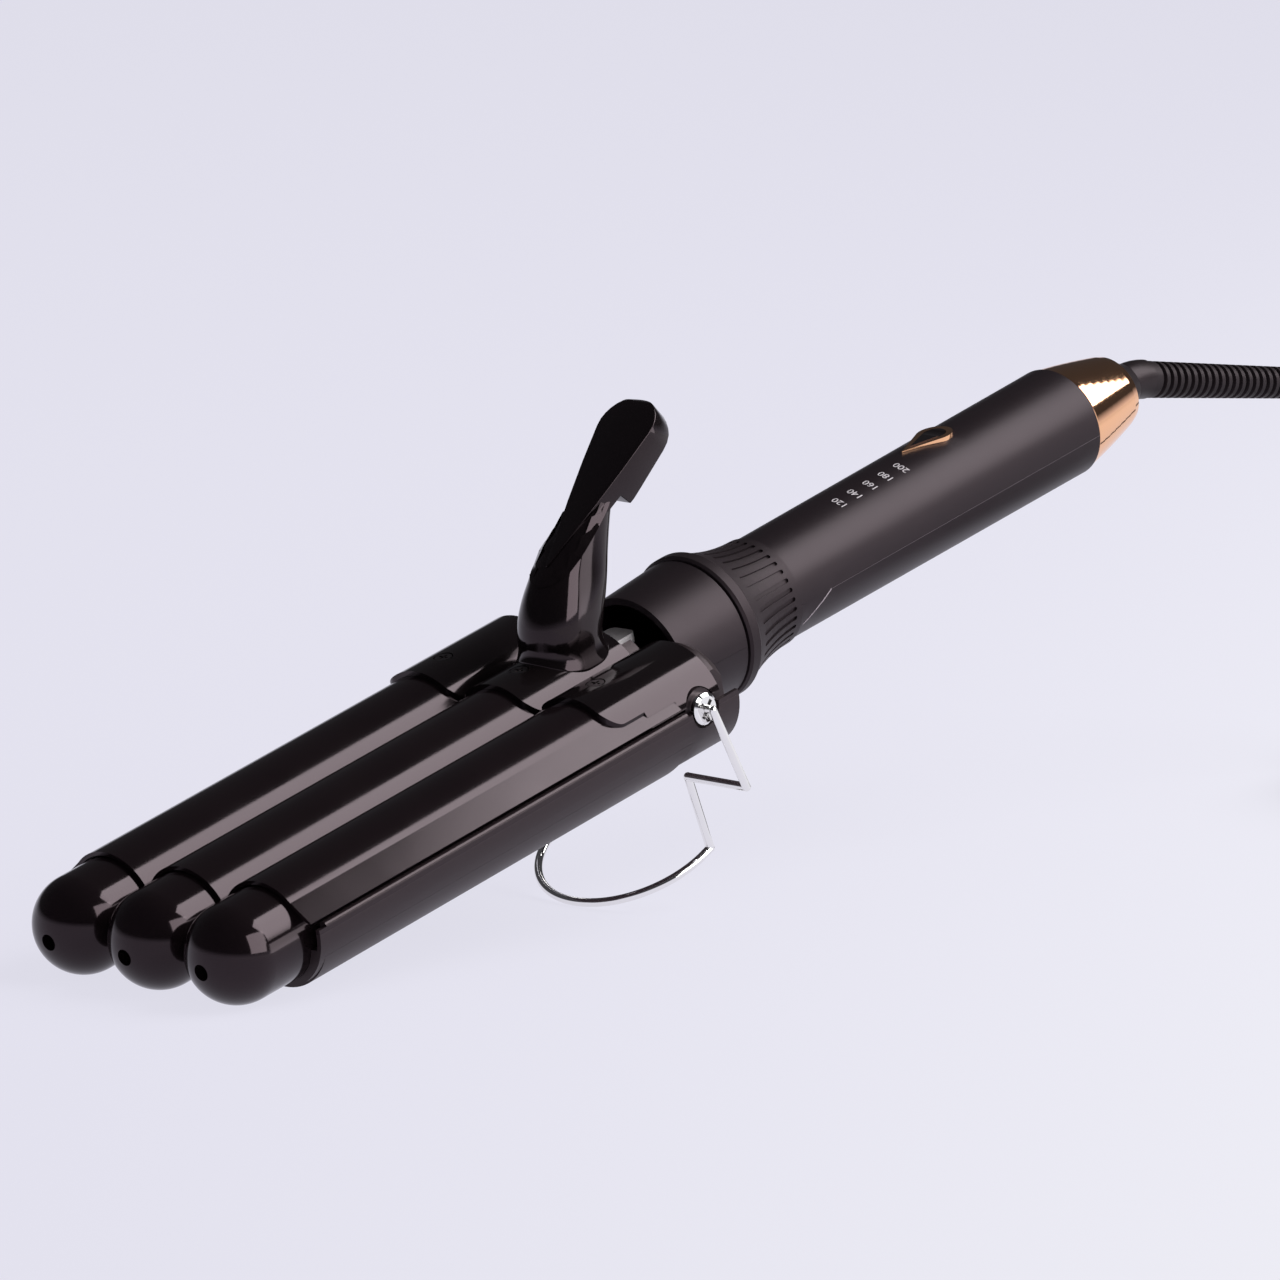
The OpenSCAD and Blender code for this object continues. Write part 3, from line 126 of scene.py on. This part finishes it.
coil = [coil_place(i / POINTS_PER_TURN) for i in range(int(COIL_TURNS * POINTS_PER_TURN) + 1)]
coil_exit = (coil[-1][0], coil[-1][1] + CORD_D, coil[-1][2])
route = drop + coil + [coil_exit] + tail


# %% Make the cord
def piece(name, mesh, body):
    """A finished mesh as an object at the origin that rides on a body."""
    made = bpy.data.objects.new(name, mesh)
    bpy.context.scene.collection.objects.link(made)
    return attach(made, body)


def smooth_wire(name, points, diameter, steps=4, sides=4):
    """The mesh of a round wire that runs smoothly through points in mm."""
    line = bpy.data.curves.new(name, "CURVE")
    line.dimensions = "3D"
    line.resolution_u = steps
    line.bevel_depth = diameter * MM / 2
    line.bevel_resolution = sides
    line.use_fill_caps = True
    spline = line.splines.new("BEZIER")
    spline.bezier_points.add(len(points) - 1)
    for knot, point in zip(spline.bezier_points, points):
        knot.co = Vector(point) * MM
        knot.handle_left_type = knot.handle_right_type = "AUTO"
    wire = bpy.data.objects.new(name, line)
    mesh = bpy.data.meshes.new_from_object(wire)
    bpy.data.objects.remove(wire)
    bpy.data.curves.remove(line)
    mesh.polygons.foreach_set("use_smooth", [True] * len(mesh.polygons))
    return mesh


mains_cord = piece("mains_cord", smooth_wire("mains_cord", route, CORD_D), "cord_swivel")
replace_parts(mains_cord, "cord", "cord_coil", "cord_tail")
print("cord faces:", len(mains_cord.data.polygons))

# %% [markdown]
# ## Lever
# The lever's stem is one smooth casting: a round nose, full sides and a foot that swells
# out onto the bracket. It is a loft. Each ring starts as a circle, its points are moved to
# that height's outline, and the rings are bridged. The lowest rings follow the bracket's
# round ridge. A cut in the thumb pad's plane and a wide bevel give its rounded shoulders.


# %% Shape the lever's stem
BRACKET_R, BRACKET_HALF, FOOT_Z = 15.2, 13, 14.6
FLARE, FLARE_HEIGHT, UPRIGHT_HEIGHT = 1.3, 3.6, 9
REAR_POWER = 0.62
PAD_LOW_END, PAD_SLOPE, PAD_GAP = Vector((160, 0, 35.8)), math.radians(33.5), 0.5
SHOULDER = 3
stem_heights = (-1.2, 0, 0.3, 0.7, 1.2, 1.8, 2.6, 3.6, 5, 7, 9, 11, 13, 15, 17, 19, 21, 24, 27, 30, 34)
stem_front = ((0, 150.2), (6, 150.5), (10, 152.0), (14, 154.3), (19, 158.0), (24, 163.0), (34, 176.0))
stem_rear = ((0, 169.6), (4, 170.8), (10, 174.4), (16, 177.6), (22, 180.6), (28, 183.4), (34, 186.0))
stem_half = ((0, 9.3), (6, 9.4), (10, 9.1), (14, 8.5), (18, 7.5), (22, 6.5), (28, 5.3), (34, 4.6))


def between(table, place):
    """The value at a place between two rows of a table."""
    for (low, first), (high, last) in zip(table, table[1:]):
        if place <= high:
            part = max(0, (place - low) / (high - low))
            return first + (last - first) * part
    return table[-1][1]


def squared(value, power):
    """A power that keeps the sign: under 1 it pushes a circle out towards a square."""
    return math.copysign(abs(value) ** power, value)


def stem_ring(shape, height, count=72):
    """One ring of the stem: a half circle in front, a fuller half at the back."""
    flare = FLARE * (1 - min(1, max(0, height / FLARE_HEIGHT))) ** 2
    half = between(stem_half, height) + flare
    front, rear = between(stem_front, height) - flare, between(stem_rear, height) + flare
    ring = bmesh.ops.create_circle(shape, segments=count, radius=1)["verts"]
    for point in ring:
        c, s = point.co.x, point.co.y
        power = 1 if c < 0 else REAR_POWER
        x = front + half + squared(c, power) * (half if c < 0 else rear - front - half)
        y = half * squared(s, power)
        ridge = math.sqrt(BRACKET_R ** 2 - min(abs(y), BRACKET_HALF) ** 2)
        upright = min(1, max(0, height / UPRIGHT_HEIGHT))
        point.co = Vector((x, y, ridge * (1 - upright) + FOOT_Z * upright + height))
    return ring


def joined_rings(shape, rings):
    """Bridges each ring to the next one and closes both ends."""
    edges = [list({edge for point in ring for edge in point.link_edges}) for ring in rings]
    for low, high in zip(edges, edges[1:]):
        bmesh.ops.bridge_loops(shape, edges=low + high)
    bmesh.ops.contextual_create(shape, geom=edges[0])
    bmesh.ops.contextual_create(shape, geom=edges[-1])


def cut(shape, place, normal):
    """Cuts away what lies beyond a plane, closes the cut and returns its rim."""
    whole = shape.verts[:] + shape.edges[:] + shape.faces[:]
    made = bmesh.ops.bisect_plane(shape, geom=whole, plane_co=place, plane_no=normal, clear_outer=True)
    rim = [part for part in made["geom_cut"] if isinstance(part, bmesh.types.BMEdge)]
    bmesh.ops.contextual_create(shape, geom=rim)
    return rim


def to_mesh(shape, name, crease=32):
    """The finished mesh, laid the way the waver stands, with edges sharper than the crease kept."""
    bmesh.ops.recalc_face_normals(shape, faces=shape.faces[:])
    bmesh.ops.transform(shape, matrix=lie @ Matrix.Scale(MM, 4), verts=shape.verts[:])
    mesh = bpy.data.meshes.new(name)
    shape.to_mesh(mesh)
    shape.free()
    mesh.polygons.foreach_set("use_smooth", [True] * len(mesh.polygons))
    mesh.set_sharp_from_angle(angle=math.radians(crease))
    return mesh


pad_up = Vector((-math.sin(PAD_SLOPE), 0, math.cos(PAD_SLOPE)))
shape = bmesh.new()
joined_rings(shape, [stem_ring(shape, height) for height in stem_heights])
rim = cut(shape, PAD_LOW_END - PAD_GAP * pad_up, pad_up)
bmesh.ops.bevel(shape, geom=rim, offset=SHOULDER, segments=6, profile=0.5, affect="EDGES", material=-1)
lever_stem = piece("lever_stem", to_mesh(shape, "lever_stem", 50), "clamp")
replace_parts(lever_stem, "thumb_lever")
print("stem faces:", len(lever_stem.data.polygons))

# %% [markdown]
# The spring that closes the clamp is a wire as well. Its curls run round the hinge pin, one
# leg goes up under the bracket and the other lies on the jaw's wall. The same helper that
# made the cord draws it, and the mesh is then laid like the rest.

# %% Wind the clamp's spring
SPRING_R, SPRING_PITCH, SPRING_TURNS, SPRING_WIRE_D = 3.66, 1.7, 6, 1.2
UPPER_LEG, WALL_LEG = (3.2, 6.2), (5, 1.2)
spring_half = SPRING_TURNS * SPRING_PITCH / 2
curls = [(HINGE.x / MM - UPPER_LEG[0], -spring_half, HINGE.z / MM + SPRING_R + UPPER_LEG[1])]
for eighth in range(2, SPRING_TURNS * 8 + 3):
    angle = math.tau * eighth / 8
    curls.append((HINGE.x / MM + SPRING_R * math.cos(angle),
                  -spring_half + SPRING_PITCH * (eighth / 8 - 0.25),
                  HINGE.z / MM + SPRING_R * math.sin(angle)))
curls.append((HINGE.x / MM - WALL_LEG[0], spring_half, HINGE.z / MM + SPRING_R + WALL_LEG[1]))
spring_mesh = smooth_wire("clamp_spring_wire", curls, SPRING_WIRE_D, 3, 2)
spring_mesh.transform(lie)
wound_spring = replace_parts(piece("clamp_spring_wire", spring_mesh, "base"), "clamp_spring")
print("spring faces:", len(spring_mesh.polygons))

# %% [markdown]
# The thumb pad and the plug are the CAD solids with their edges eased. A CAD mesh is loose
# triangles, so a copy of it is merged, its flat faces are made whole again, and its sharp
# edges are bevelled. The light then catches them as a fine line.


# %% Ease the edges of the thumb pad and the plug
WELD, FLAT_ANGLE, SMOOTH_ANGLE = 0.002, 2, 28


def eased_copy(node_name, name, width, body, angle=38):
    """A copy of a CAD piece with its sharp edges bevelled."""
    shape = bmesh.new()
    shape.from_mesh(nodes[node_name].data)
    bmesh.ops.transform(shape, matrix=nodes[node_name].matrix_world, verts=shape.verts[:])
    bmesh.ops.remove_doubles(shape, verts=shape.verts[:], dist=WELD * MM)
    bmesh.ops.dissolve_limit(shape, angle_limit=math.radians(FLAT_ANGLE), verts=shape.verts[:],
                             edges=shape.edges[:])
    sharp = [edge for edge in shape.edges
             if edge.is_manifold and edge.calc_face_angle() > math.radians(angle)]
    bmesh.ops.bevel(shape, geom=sharp, offset=width * MM, segments=3, profile=0.5,
                    affect="EDGES", material=-1, clamp_overlap=True)
    mesh = bpy.data.meshes.new(name)
    shape.to_mesh(mesh)
    shape.free()
    mesh.polygons.foreach_set("use_smooth", [True] * len(mesh.polygons))
    mesh.set_sharp_from_angle(angle=math.radians(SMOOTH_ANGLE))
    made = piece(name, mesh, body)
    print(name, "faces:", len(mesh.polygons), "eased edges:", len(sharp))
    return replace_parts(made, node_name)


eased_pad = eased_copy("thumb_pad", "thumb_pad_eased", 0.45, "clamp")
eased_plug = eased_copy("plug_body", "plug_eased", 1.2, "cord_swivel")

# %% [markdown]
# ## Heat numbers
# Five small numbers are printed across the handle, between the button and the collar. Each
# is a text object. It is made a mesh while it is still flat, and is then wrapped on the
# handle: its width becomes an angle round the handle's axis.

# %% Print the heat numbers
NUMBERS = ("120", "140", "160", "180", "200")
NUMBER_X, NUMBER_STEP, NUMBER_TURN = 261.5, 6.0, math.radians(20)
NUMBER_SIZE, INK_HALF, INK_LIFT = 3.0, 0.03, 0.05
GRIP_AXIS_Z, GRIP_R, GRIP_GROWTH, GRIP_START = 0.7, 14.1, 0.5 / 117.5, 232.3
shape = bmesh.new()
for row, number in enumerate(NUMBERS):
    words = bpy.data.curves.new("heat_number", "FONT")
    words.body = number
    words.size, words.extrude = NUMBER_SIZE, INK_HALF
    words.align_x, words.align_y = "CENTER", "CENTER"
    flat = bpy.data.objects.new("heat_number", words)
    mesh = bpy.data.meshes.new_from_object(flat)
    before = set(shape.verts)
    shape.from_mesh(mesh)
    fresh = [point for point in shape.verts if point not in before]
    x = NUMBER_X + row * NUMBER_STEP
    for point in fresh:
        radius = GRIP_R + GRIP_GROWTH * (x - GRIP_START) + INK_LIFT + point.co.z
        turn = NUMBER_TURN - point.co.x / GRIP_R
        point.co = Vector((x - point.co.y, -radius * math.sin(turn), GRIP_AXIS_Z + radius * math.cos(turn)))
    bpy.data.objects.remove(flat)
    bpy.data.curves.remove(words)
    bpy.data.meshes.remove(mesh)
heat_numbers = piece("heat_numbers", to_mesh(shape, "heat_numbers"), "base")
print("numbers:", NUMBERS)

# %% [markdown]
# ## Floor, background and lamps
# The waver stands on a pale lavender sheet without a horizon. A round floor and a world of
# the same colour give that from every side. The camera sees the colour itself, mixed with
# some of the lit floor, so that a faint contact shadow stays. Towards the lower right the
# floor's colour is blended to near white: that is a painted pool of light.

# %% Put down the floor
PALE = (0.79, 0.78, 0.88, 1)
# The near white is the colour of a painted pool of light on the floor.
PAINTED_LIGHT_WHITE = (0.90, 0.90, 0.95, 1)
OWN_SHARE = 0.90
FLOOR_R = 60
shape = bmesh.new()
bmesh.ops.create_circle(shape, cap_ends=True, segments=96, radius=FLOOR_R)
floor_mesh = bpy.data.meshes.new("floor")
shape.to_mesh(floor_mesh)
shape.free()
floor = bpy.data.objects.new("floor", floor_mesh)
bpy.context.scene.collection.objects.link(floor)
print("floor radius", FLOOR_R, "m")

# %% [markdown]
# Shader maths reads best as plain sums. The class `Value` wraps a socket, so that
# `1 - mask` adds a Math node by itself, and `Finish` holds one material's tree. Any other
# node comes from its method `node`, which takes the node's type, its settings and the
# values or links of its sockets.


# %% Write shader maths as sums
class Value:
    """A shader socket that can take part in sums."""

    def __init__(self, finish, socket):
        self.finish, self.socket = finish, socket

    def __add__(self, other):
        return self.finish.math("ADD", self, other)

    def __sub__(self, other):
        return self.finish.math("SUBTRACT", self, other)

    def __rsub__(self, other):
        return self.finish.math("SUBTRACT", other, self)

    def __mul__(self, other):
        return self.finish.math("MULTIPLY", self, other)

    __radd__, __rmul__ = __add__, __mul__


class Finish:
    """The node tree of one material, or of the world, with short names for common nodes."""

    def __init__(self, tree):
        self.tree = tree
        tree.nodes.clear()

    def node(self, kind, settings=None, inputs=None, output=0):
        made = self.tree.nodes.new(kind)
        for name, setting in (settings or {}).items():
            if name == "stops":
                for stop, (place, colour) in zip(made.color_ramp.elements, setting):
                    stop.position, stop.color = place, colour
            else:
                setattr(made, name, setting)
        for name, given in (inputs or {}).items():
            if isinstance(given, Value):
                self.tree.links.new(given.socket, made.inputs[name])
            else:
                made.inputs[name].default_value = given
        return Value(self, made.outputs[output]) if made.outputs else None

    def math(self, operation, first, second):
        return self.node("ShaderNodeMath", {"operation": operation}, {0: first, 1: second})

    def blend(self, factor, first, second):
        return self.node("ShaderNodeMix", {"data_type": "RGBA"}, {0: factor, 6: first, 7: second}, 2)

    def over(self, value, edge, softness=0.0001):
        """1 where the value is over the edge, 0 under it."""
        return self.node("ShaderNodeMapRange", {"interpolation_type": "SMOOTHSTEP"},
                         {0: value, 1: edge - softness, 2: edge + softness})

    def place(self):
        """Object coordinates, turned back to the way that the waver was drawn, as x, y, z."""
        back = lie.inverted()
        coordinates = self.node("ShaderNodeTexCoord", output=3)
        drawn = self.node("ShaderNodeMapping", None, {
            "Vector": coordinates, "Location": back.to_translation(), "Rotation": back.to_euler()})
        self.drawn = drawn
        apart = self.node("ShaderNodeSeparateXYZ", None, {0: drawn})
        return [Value(self, apart.socket.node.outputs[i]) for i in range(3)]

    def noise(self, scale, detail=2, stretch=(1, 1, 1)):
        coordinates = self.node("ShaderNodeTexCoord", output=3)
        stretched = self.node("ShaderNodeMapping", None, {"Vector": coordinates, "Scale": stretch})
        return self.node("ShaderNodeTexNoise", None,
                         {"Vector": stretched, "Scale": scale, "Detail": detail})

    def bump(self, height, depth):
        return self.node("ShaderNodeBump", None, {"Height": height, "Distance": depth, "Strength": 1.0})

    def end(self, kind, surface):
        self.node(kind, None, {"Surface": surface})


def rgb(red, green, blue):
    return (red, green, blue, 1)


# %% Colour the floor and the world
SIDE_X, SIDE_Y, NEAR_SHARE = 0.667, 0.745, 0.20
BRIGHT_EDGE, BRIGHT_SOFTNESS = 0.16, 0.30
floor_sheet_and_painted_light = bpy.data.materials.new("floor_sheet_and_painted_light")
floor_sheet_and_painted_light.use_nodes = True
finish = Finish(floor_sheet_and_painted_light.node_tree)
seen = finish.node("ShaderNodeLightPath")
spot = finish.node("ShaderNodeTexCoord", output=3)
apart = finish.node("ShaderNodeSeparateXYZ", None, {0: spot})
spot_x, spot_y = (Value(finish, apart.socket.node.outputs[i]) for i in range(2))
# Painted light: the floor's colour turns near white towards the lower right, where the light falls.
rightward = spot_x * SIDE_X - spot_y * SIDE_Y
towards_camera = spot_x * -SIDE_Y - spot_y * SIDE_X
painted_light_spread = finish.over(rightward + towards_camera * NEAR_SHARE, BRIGHT_EDGE, BRIGHT_SOFTNESS)
paper_and_painted_light = finish.blend(painted_light_spread, PALE, PAINTED_LIGHT_WHITE)
lit = finish.node("ShaderNodeBsdfDiffuse", None, {"Color": paper_and_painted_light})
own = finish.node("ShaderNodeEmission", None, {"Color": paper_and_painted_light, "Strength": 1.0})
looked_at = [Value(finish, seen.socket.node.outputs[name])
             for name in ("Is Camera Ray", "Is Glossy Ray", "Is Transmission Ray")]
plain = (looked_at[0] + looked_at[1] + looked_at[2]) * OWN_SHARE
finish.end("ShaderNodeOutputMaterial", finish.node("ShaderNodeMixShader", None, {0: plain, 1: lit, 2: own}))
floor_mesh.materials.append(floor_sheet_and_painted_light)

FILL = (0.20, 0.20, 0.22, 1)
DOME_TOP, DOME_EDGE = (0.05, 0.05, 0.055, 1), 0.16
world = bpy.data.worlds.new("studio")
bpy.context.scene.world = world
world.use_nodes = True
finish = Finish(world.node_tree)
seen = finish.node("ShaderNodeLightPath")
glossy = Value(finish, seen.socket.node.outputs["Is Glossy Ray"])
direction = finish.node("ShaderNodeTexCoord", output=0)
apart = finish.node("ShaderNodeSeparateXYZ", None, {0: direction})
height = Value(finish, apart.socket.node.outputs[2])
dome = finish.node("ShaderNodeValToRGB", {"stops": [(0.0, PALE), (DOME_EDGE, DOME_TOP)]}, {0: height})
colour = finish.blend(seen, finish.blend(glossy, FILL, dome), PALE)
backdrop = finish.node("ShaderNodeBackground", None, {"Color": colour, "Strength": 1.0})
finish.end("ShaderNodeOutputWorld", backdrop)
print("floor and world share", PALE[:3])

# %% [markdown]
# Three square lamps and a dim dome do the rest. The softbox hangs high and gives each barrel
# its hard-edged band. A weaker card stands low on the same side and lights the handle's
# flank. A front card shows only in reflections, as the bright stripe on the lever's stem.


# %% Hang the softbox and the cards
def hang(name, side, away, watts, azimuth, height, only_mirrored=False):
    """A square lamp that looks at the waver from an azimuth and a height, both in degrees."""
    lamp = bpy.data.lights.new(name, "AREA")
    lamp.shape, lamp.size, lamp.energy = "SQUARE", side, watts
    hung = bpy.data.objects.new(name, lamp)
    azimuth, height = math.radians(azimuth), math.radians(height)
    towards = Vector((math.cos(azimuth) * math.cos(height), math.sin(azimuth) * math.cos(height),
                      math.sin(height)))
    hung.location = towards * away
    hung.rotation_euler = towards.to_track_quat("Z", "Y").to_euler()
    hung.visible_camera = False
    hung.visible_diffuse = not only_mirrored
    bpy.context.scene.collection.objects.link(hung)
    print(name, "at", tuple(round(v, 2) for v in hung.location))


hang("softbox", 1.22, 1.6, 29, -38, 45)
hang("low_card", 0.46, 1.6, 1.8, -56, 9)
hang("front_card", 1.15, 1.6, 20, -90, 27, only_mirrored=True)
bpy.context.scene.view_settings.view_transform = "Standard"

# %% [markdown]
# ## Finishes
# Each finish is a function, so that what varies from piece to piece can be given as a
# number. All black plastics here have a brown-purple tint in their reflections. What sets
# them apart is how sharp those reflections are, and the grain on their surface.


# %% Make the plastics, lacquer and rubber
UNEVEN = 0.08


def material(name, sockets, varying=None):
    """A Principled material: constants on its own sockets, what varies from a function."""
    made = bpy.data.materials.new(name)
    made.use_nodes = True
    finish = Finish(made.node_tree)
    shader = dict(sockets)
    if varying:
        shader.update(varying(finish))
    finish.end("ShaderNodeOutputMaterial", finish.node("ShaderNodeBsdfPrincipled", None, shader))
    return made


def plastic(name, dark, light, rough, grain, depth, shine=0.36, tint=(1.0, 0.78, 0.86, 1)):
    """Moulded plastic: a cloudy base colour, uneven gloss and a fine grain."""
    def varying(finish):
        cloud = finish.noise(60, 3)
        fine = finish.noise(grain, 4)
        return {"Base Color": finish.blend(cloud, dark, light),
                "Roughness": cloud * UNEVEN + (rough - UNEVEN / 2),
                "Normal": finish.bump(fine, depth * MM)}
    return material(name, {"Specular Tint": tint, "Specular IOR Level": shine}, varying)


barrel_lacquer = plastic("barrel_lacquer", rgb(0.008, 0.005, 0.006), rgb(0.011, 0.007, 0.008),
                         0.12, 900, 0.001)
cap_gloss = plastic("cap_gloss", rgb(0.008, 0.005, 0.006), rgb(0.011, 0.007, 0.008), 0.10, 900, 0.001)
bracket_gloss = plastic("bracket_gloss", rgb(0.006, 0.004, 0.005), rgb(0.008, 0.006, 0.006),
                        0.08, 700, 0.001)
collar_matte = plastic("collar_matte", rgb(0.014, 0.010, 0.012), rgb(0.018, 0.013, 0.015),
                       0.50, 2600, 0.02, 0.24)
elbow_satin = plastic("elbow_satin", rgb(0.010, 0.007, 0.008), rgb(0.013, 0.009, 0.010),
                      0.40, 1800, 0.01, 0.24)
cord_rubber = plastic("cord_rubber", rgb(0.009, 0.007, 0.008), rgb(0.012, 0.009, 0.010),
                      0.50, 1500, 0.02, 0.24)
tie_fabric = plastic("tie_fabric", rgb(0.010, 0.009, 0.010), rgb(0.020, 0.018, 0.019), 0.80, 3000, 0.08)
number_ink = plastic("number_ink", rgb(0.62, 0.58, 0.60), rgb(0.72, 0.68, 0.70), 0.5, 1500, 0.004)
print("plastics made:", len(bpy.data.materials))


# %% Make the tray's satin with its glossy bead
BEAD_Y, BEAD_Z, BEAD_SOFTNESS, BEAD_ROUGH = 0.0395, 0.0016, 0.0003, 0.16


def tray_varying(finish):
    _, y, z = finish.place()
    outside = finish.over(finish.math("ABSOLUTE", y, 0), BEAD_Y, BEAD_SOFTNESS)
    bead = outside * finish.over(z, BEAD_Z, BEAD_SOFTNESS)
    cloud = finish.noise(50, 3)
    satin = cloud * UNEVEN + 0.38
    return {"Base Color": finish.blend(cloud, rgb(0.022, 0.015, 0.017), rgb(0.027, 0.019, 0.021)),
            "Roughness": satin * (1 - bead) + bead * BEAD_ROUGH,
            "Normal": finish.bump(finish.noise(2200, 3), 0.008 * MM)}


tray_satin = material("tray_satin", {"Specular Tint": (1.0, 0.80, 0.86, 1), "Specular IOR Level": 0.3},
                      tray_varying)
print("tray satin made")


# %% Make the handle's satin, with painted highlights on its seam and at one corner
# The seam values place the seam's painted highlight.
SEAM_Z, SEAM_HALF = -1.0, 0.09
# The corner values place a painted highlight on the handle.
CORNER_X, CORNER_LENGTH, CORNER_DROP, CORNER_SLOPE, CORNER_HALF = 233.8, 10, 6, 0.6, 0.22
LINE_SOFTNESS = 0.04


def thin_line(finish, distance, half_width):
    """1 within a thin line, from the distance to its middle in metres."""
    return 1 - finish.over(finish.math("ABSOLUTE", distance, 0), half_width * MM, LINE_SOFTNESS * MM)


def grip_varying(finish):
    x, _, z = finish.place()
    behind = finish.over(x, (CORNER_X + CORNER_LENGTH) * MM)
    corner = finish.over(x, CORNER_X * MM) * (1 - behind)
    slant = z - (x - CORNER_X * MM) * CORNER_SLOPE - (SEAM_Z - CORNER_DROP) * MM
    # The seam's place is real. Its light grey line is a painted highlight along the joint's edge.
    seam_painted_highlight = thin_line(finish, z - SEAM_Z * MM, SEAM_HALF) * behind
    # Painted highlight: a pale slanted line at the handle's corner near the collar, where light catches the
    # edge.
    corner_painted_highlight = thin_line(finish, slant, CORNER_HALF) * corner
    cloud = finish.noise(45, 3)
    fine = finish.noise(2400, 3)
    satin = finish.blend(cloud, rgb(0.012, 0.008, 0.010), rgb(0.016, 0.011, 0.013))
    satin_with_seam_highlight = finish.blend(seam_painted_highlight, satin, rgb(0.11, 0.09, 0.10))
    return {"Base Color": finish.blend(corner_painted_highlight, satin_with_seam_highlight, rgb(0.42, 0.36, 0.38)),
            "Roughness": cloud * UNEVEN + 0.36,
            "Normal": finish.bump(fine, 0.012 * MM)}


grip_satin_painted_highlights = material("grip_satin_painted_highlights", {"Specular Tint": (1.0, 0.80, 0.88, 1), "Specular IOR Level": 0.26},
                      grip_varying)
print("grip satin made")


# %% [markdown]
# Metals take their look from what they reflect. Chrome and rose gold are almost smooth, and
# only a trace of smudges keeps them from looking like mirrors. Plain steel has short
# brushed lines, made by stretching a noise along one direction.


# %% Make the metals
def metal(name, colour, rough, stretch=(1, 1, 1), lines=0.0):
    def varying(finish):
        smudge = finish.noise(120, 3)
        brushed = finish.noise(700, 2, stretch)
        return {"Roughness": smudge * 0.06 + rough, "Normal": finish.bump(brushed, lines * MM)}
    return material(name, {"Base Color": colour, "Metallic": 1.0}, varying)


chrome = metal("chrome", rgb(0.88, 0.87, 0.86), 0.03, lines=0.0001)
rose_gold = metal("rose_gold", rgb(0.90, 0.50, 0.29), 0.05, lines=0.0001)
plain_steel = metal("plain_steel", rgb(0.62, 0.60, 0.58), 0.26, (1, 0.05, 1), 0.004)
bright_steel = metal("bright_steel", rgb(0.95, 0.90, 0.91), 0.46, (0.05, 1, 1), 0.004)
dark_steel = metal("dark_steel", rgb(0.10, 0.085, 0.09), 0.30, (1, 1, 1), 0.004)
pin_nickel = metal("pin_nickel", rgb(0.80, 0.74, 0.60), 0.14, (0.05, 1, 1), 0.003)
aluminium = metal("aluminium", rgb(0.72, 0.72, 0.73), 0.34, (0.03, 1, 1), 0.01)
print("metals made")


# %% Make the finishes inside
def board_varying(finish):
    finish.place()
    tracks = finish.node("ShaderNodeTexBrick", {"offset": 0.35}, {
        "Vector": finish.drawn, "Scale": 160.0, "Mortar Size": 0.05, "Color1": rgb(0.03, 0.20, 0.09),
        "Color2": rgb(0.04, 0.24, 0.11), "Mortar": rgb(0.35, 0.42, 0.18)})
    return {"Base Color": tracks, "Roughness": finish.noise(300) * 0.1 + 0.25}


board_green = material("board_green", {}, board_varying)
switch_grey = plastic("switch_grey", rgb(0.20, 0.20, 0.21), rgb(0.26, 0.26, 0.27), 0.4, 900, 0.01)
lead_silicone = plastic("lead_silicone", rgb(0.70, 0.67, 0.60), rgb(0.78, 0.75, 0.68), 0.5, 900, 0.01)
print("all materials:", len(bpy.data.materials))

# %% [markdown]
# A CAD piece keeps its mesh and gets its finish by filling its material slots. A piece that
# was made here has no slot yet, so its finish is added.

# %% Give each piece its finish
finishes = {
    "barrel_left": barrel_lacquer, "barrel_middle": barrel_lacquer, "barrel_right": barrel_lacquer,
    "clamp_plate": barrel_lacquer, "tip_cap_left": cap_gloss, "tip_cap_middle": cap_gloss,
    "tip_cap_right": cap_gloss, "heater_left": aluminium, "heater_middle": aluminium,
    "heater_right": aluminium, "tray_frame": tray_satin, "bottom_cover": tray_satin,
    "jaw_liner": tray_satin, "cover_screws": plain_steel, "hinge_pin": plain_steel,
    "shell_screws": plain_steel, "hinge_screws": chrome,
    "stand_wire": chrome, "lever_bracket": bracket_gloss,
    "bracket_screws": dark_steel, "stop_tongue": bright_steel,
    "handle_upper_shell": grip_satin_painted_highlights, "handle_lower_shell": grip_satin_painted_highlights, "ribbed_collar": collar_matte,
    "button_bezel": rose_gold, "rear_ring": rose_gold, "power_button": bracket_gloss,
    "button_switch": switch_grey, "control_board": board_green, "heater_leads": lead_silicone,
    "swivel_elbow": elbow_satin, "strain_relief": cord_rubber, "cord_tie": tie_fabric,
    "plug_pins": pin_nickel,
}
for name, made in finishes.items():
    for slot in nodes[name].material_slots:
        slot.material = made
made_here = ((mains_cord, cord_rubber), (lever_stem, bracket_gloss), (eased_pad, bracket_gloss),
             (eased_plug, elbow_satin), (heat_numbers, number_ink), (wound_spring, plain_steel))
for modelled, made in made_here:
    modelled.data.materials.append(made)
print("dressed", len(finishes), "CAD pieces and", len(made_here), "made here")
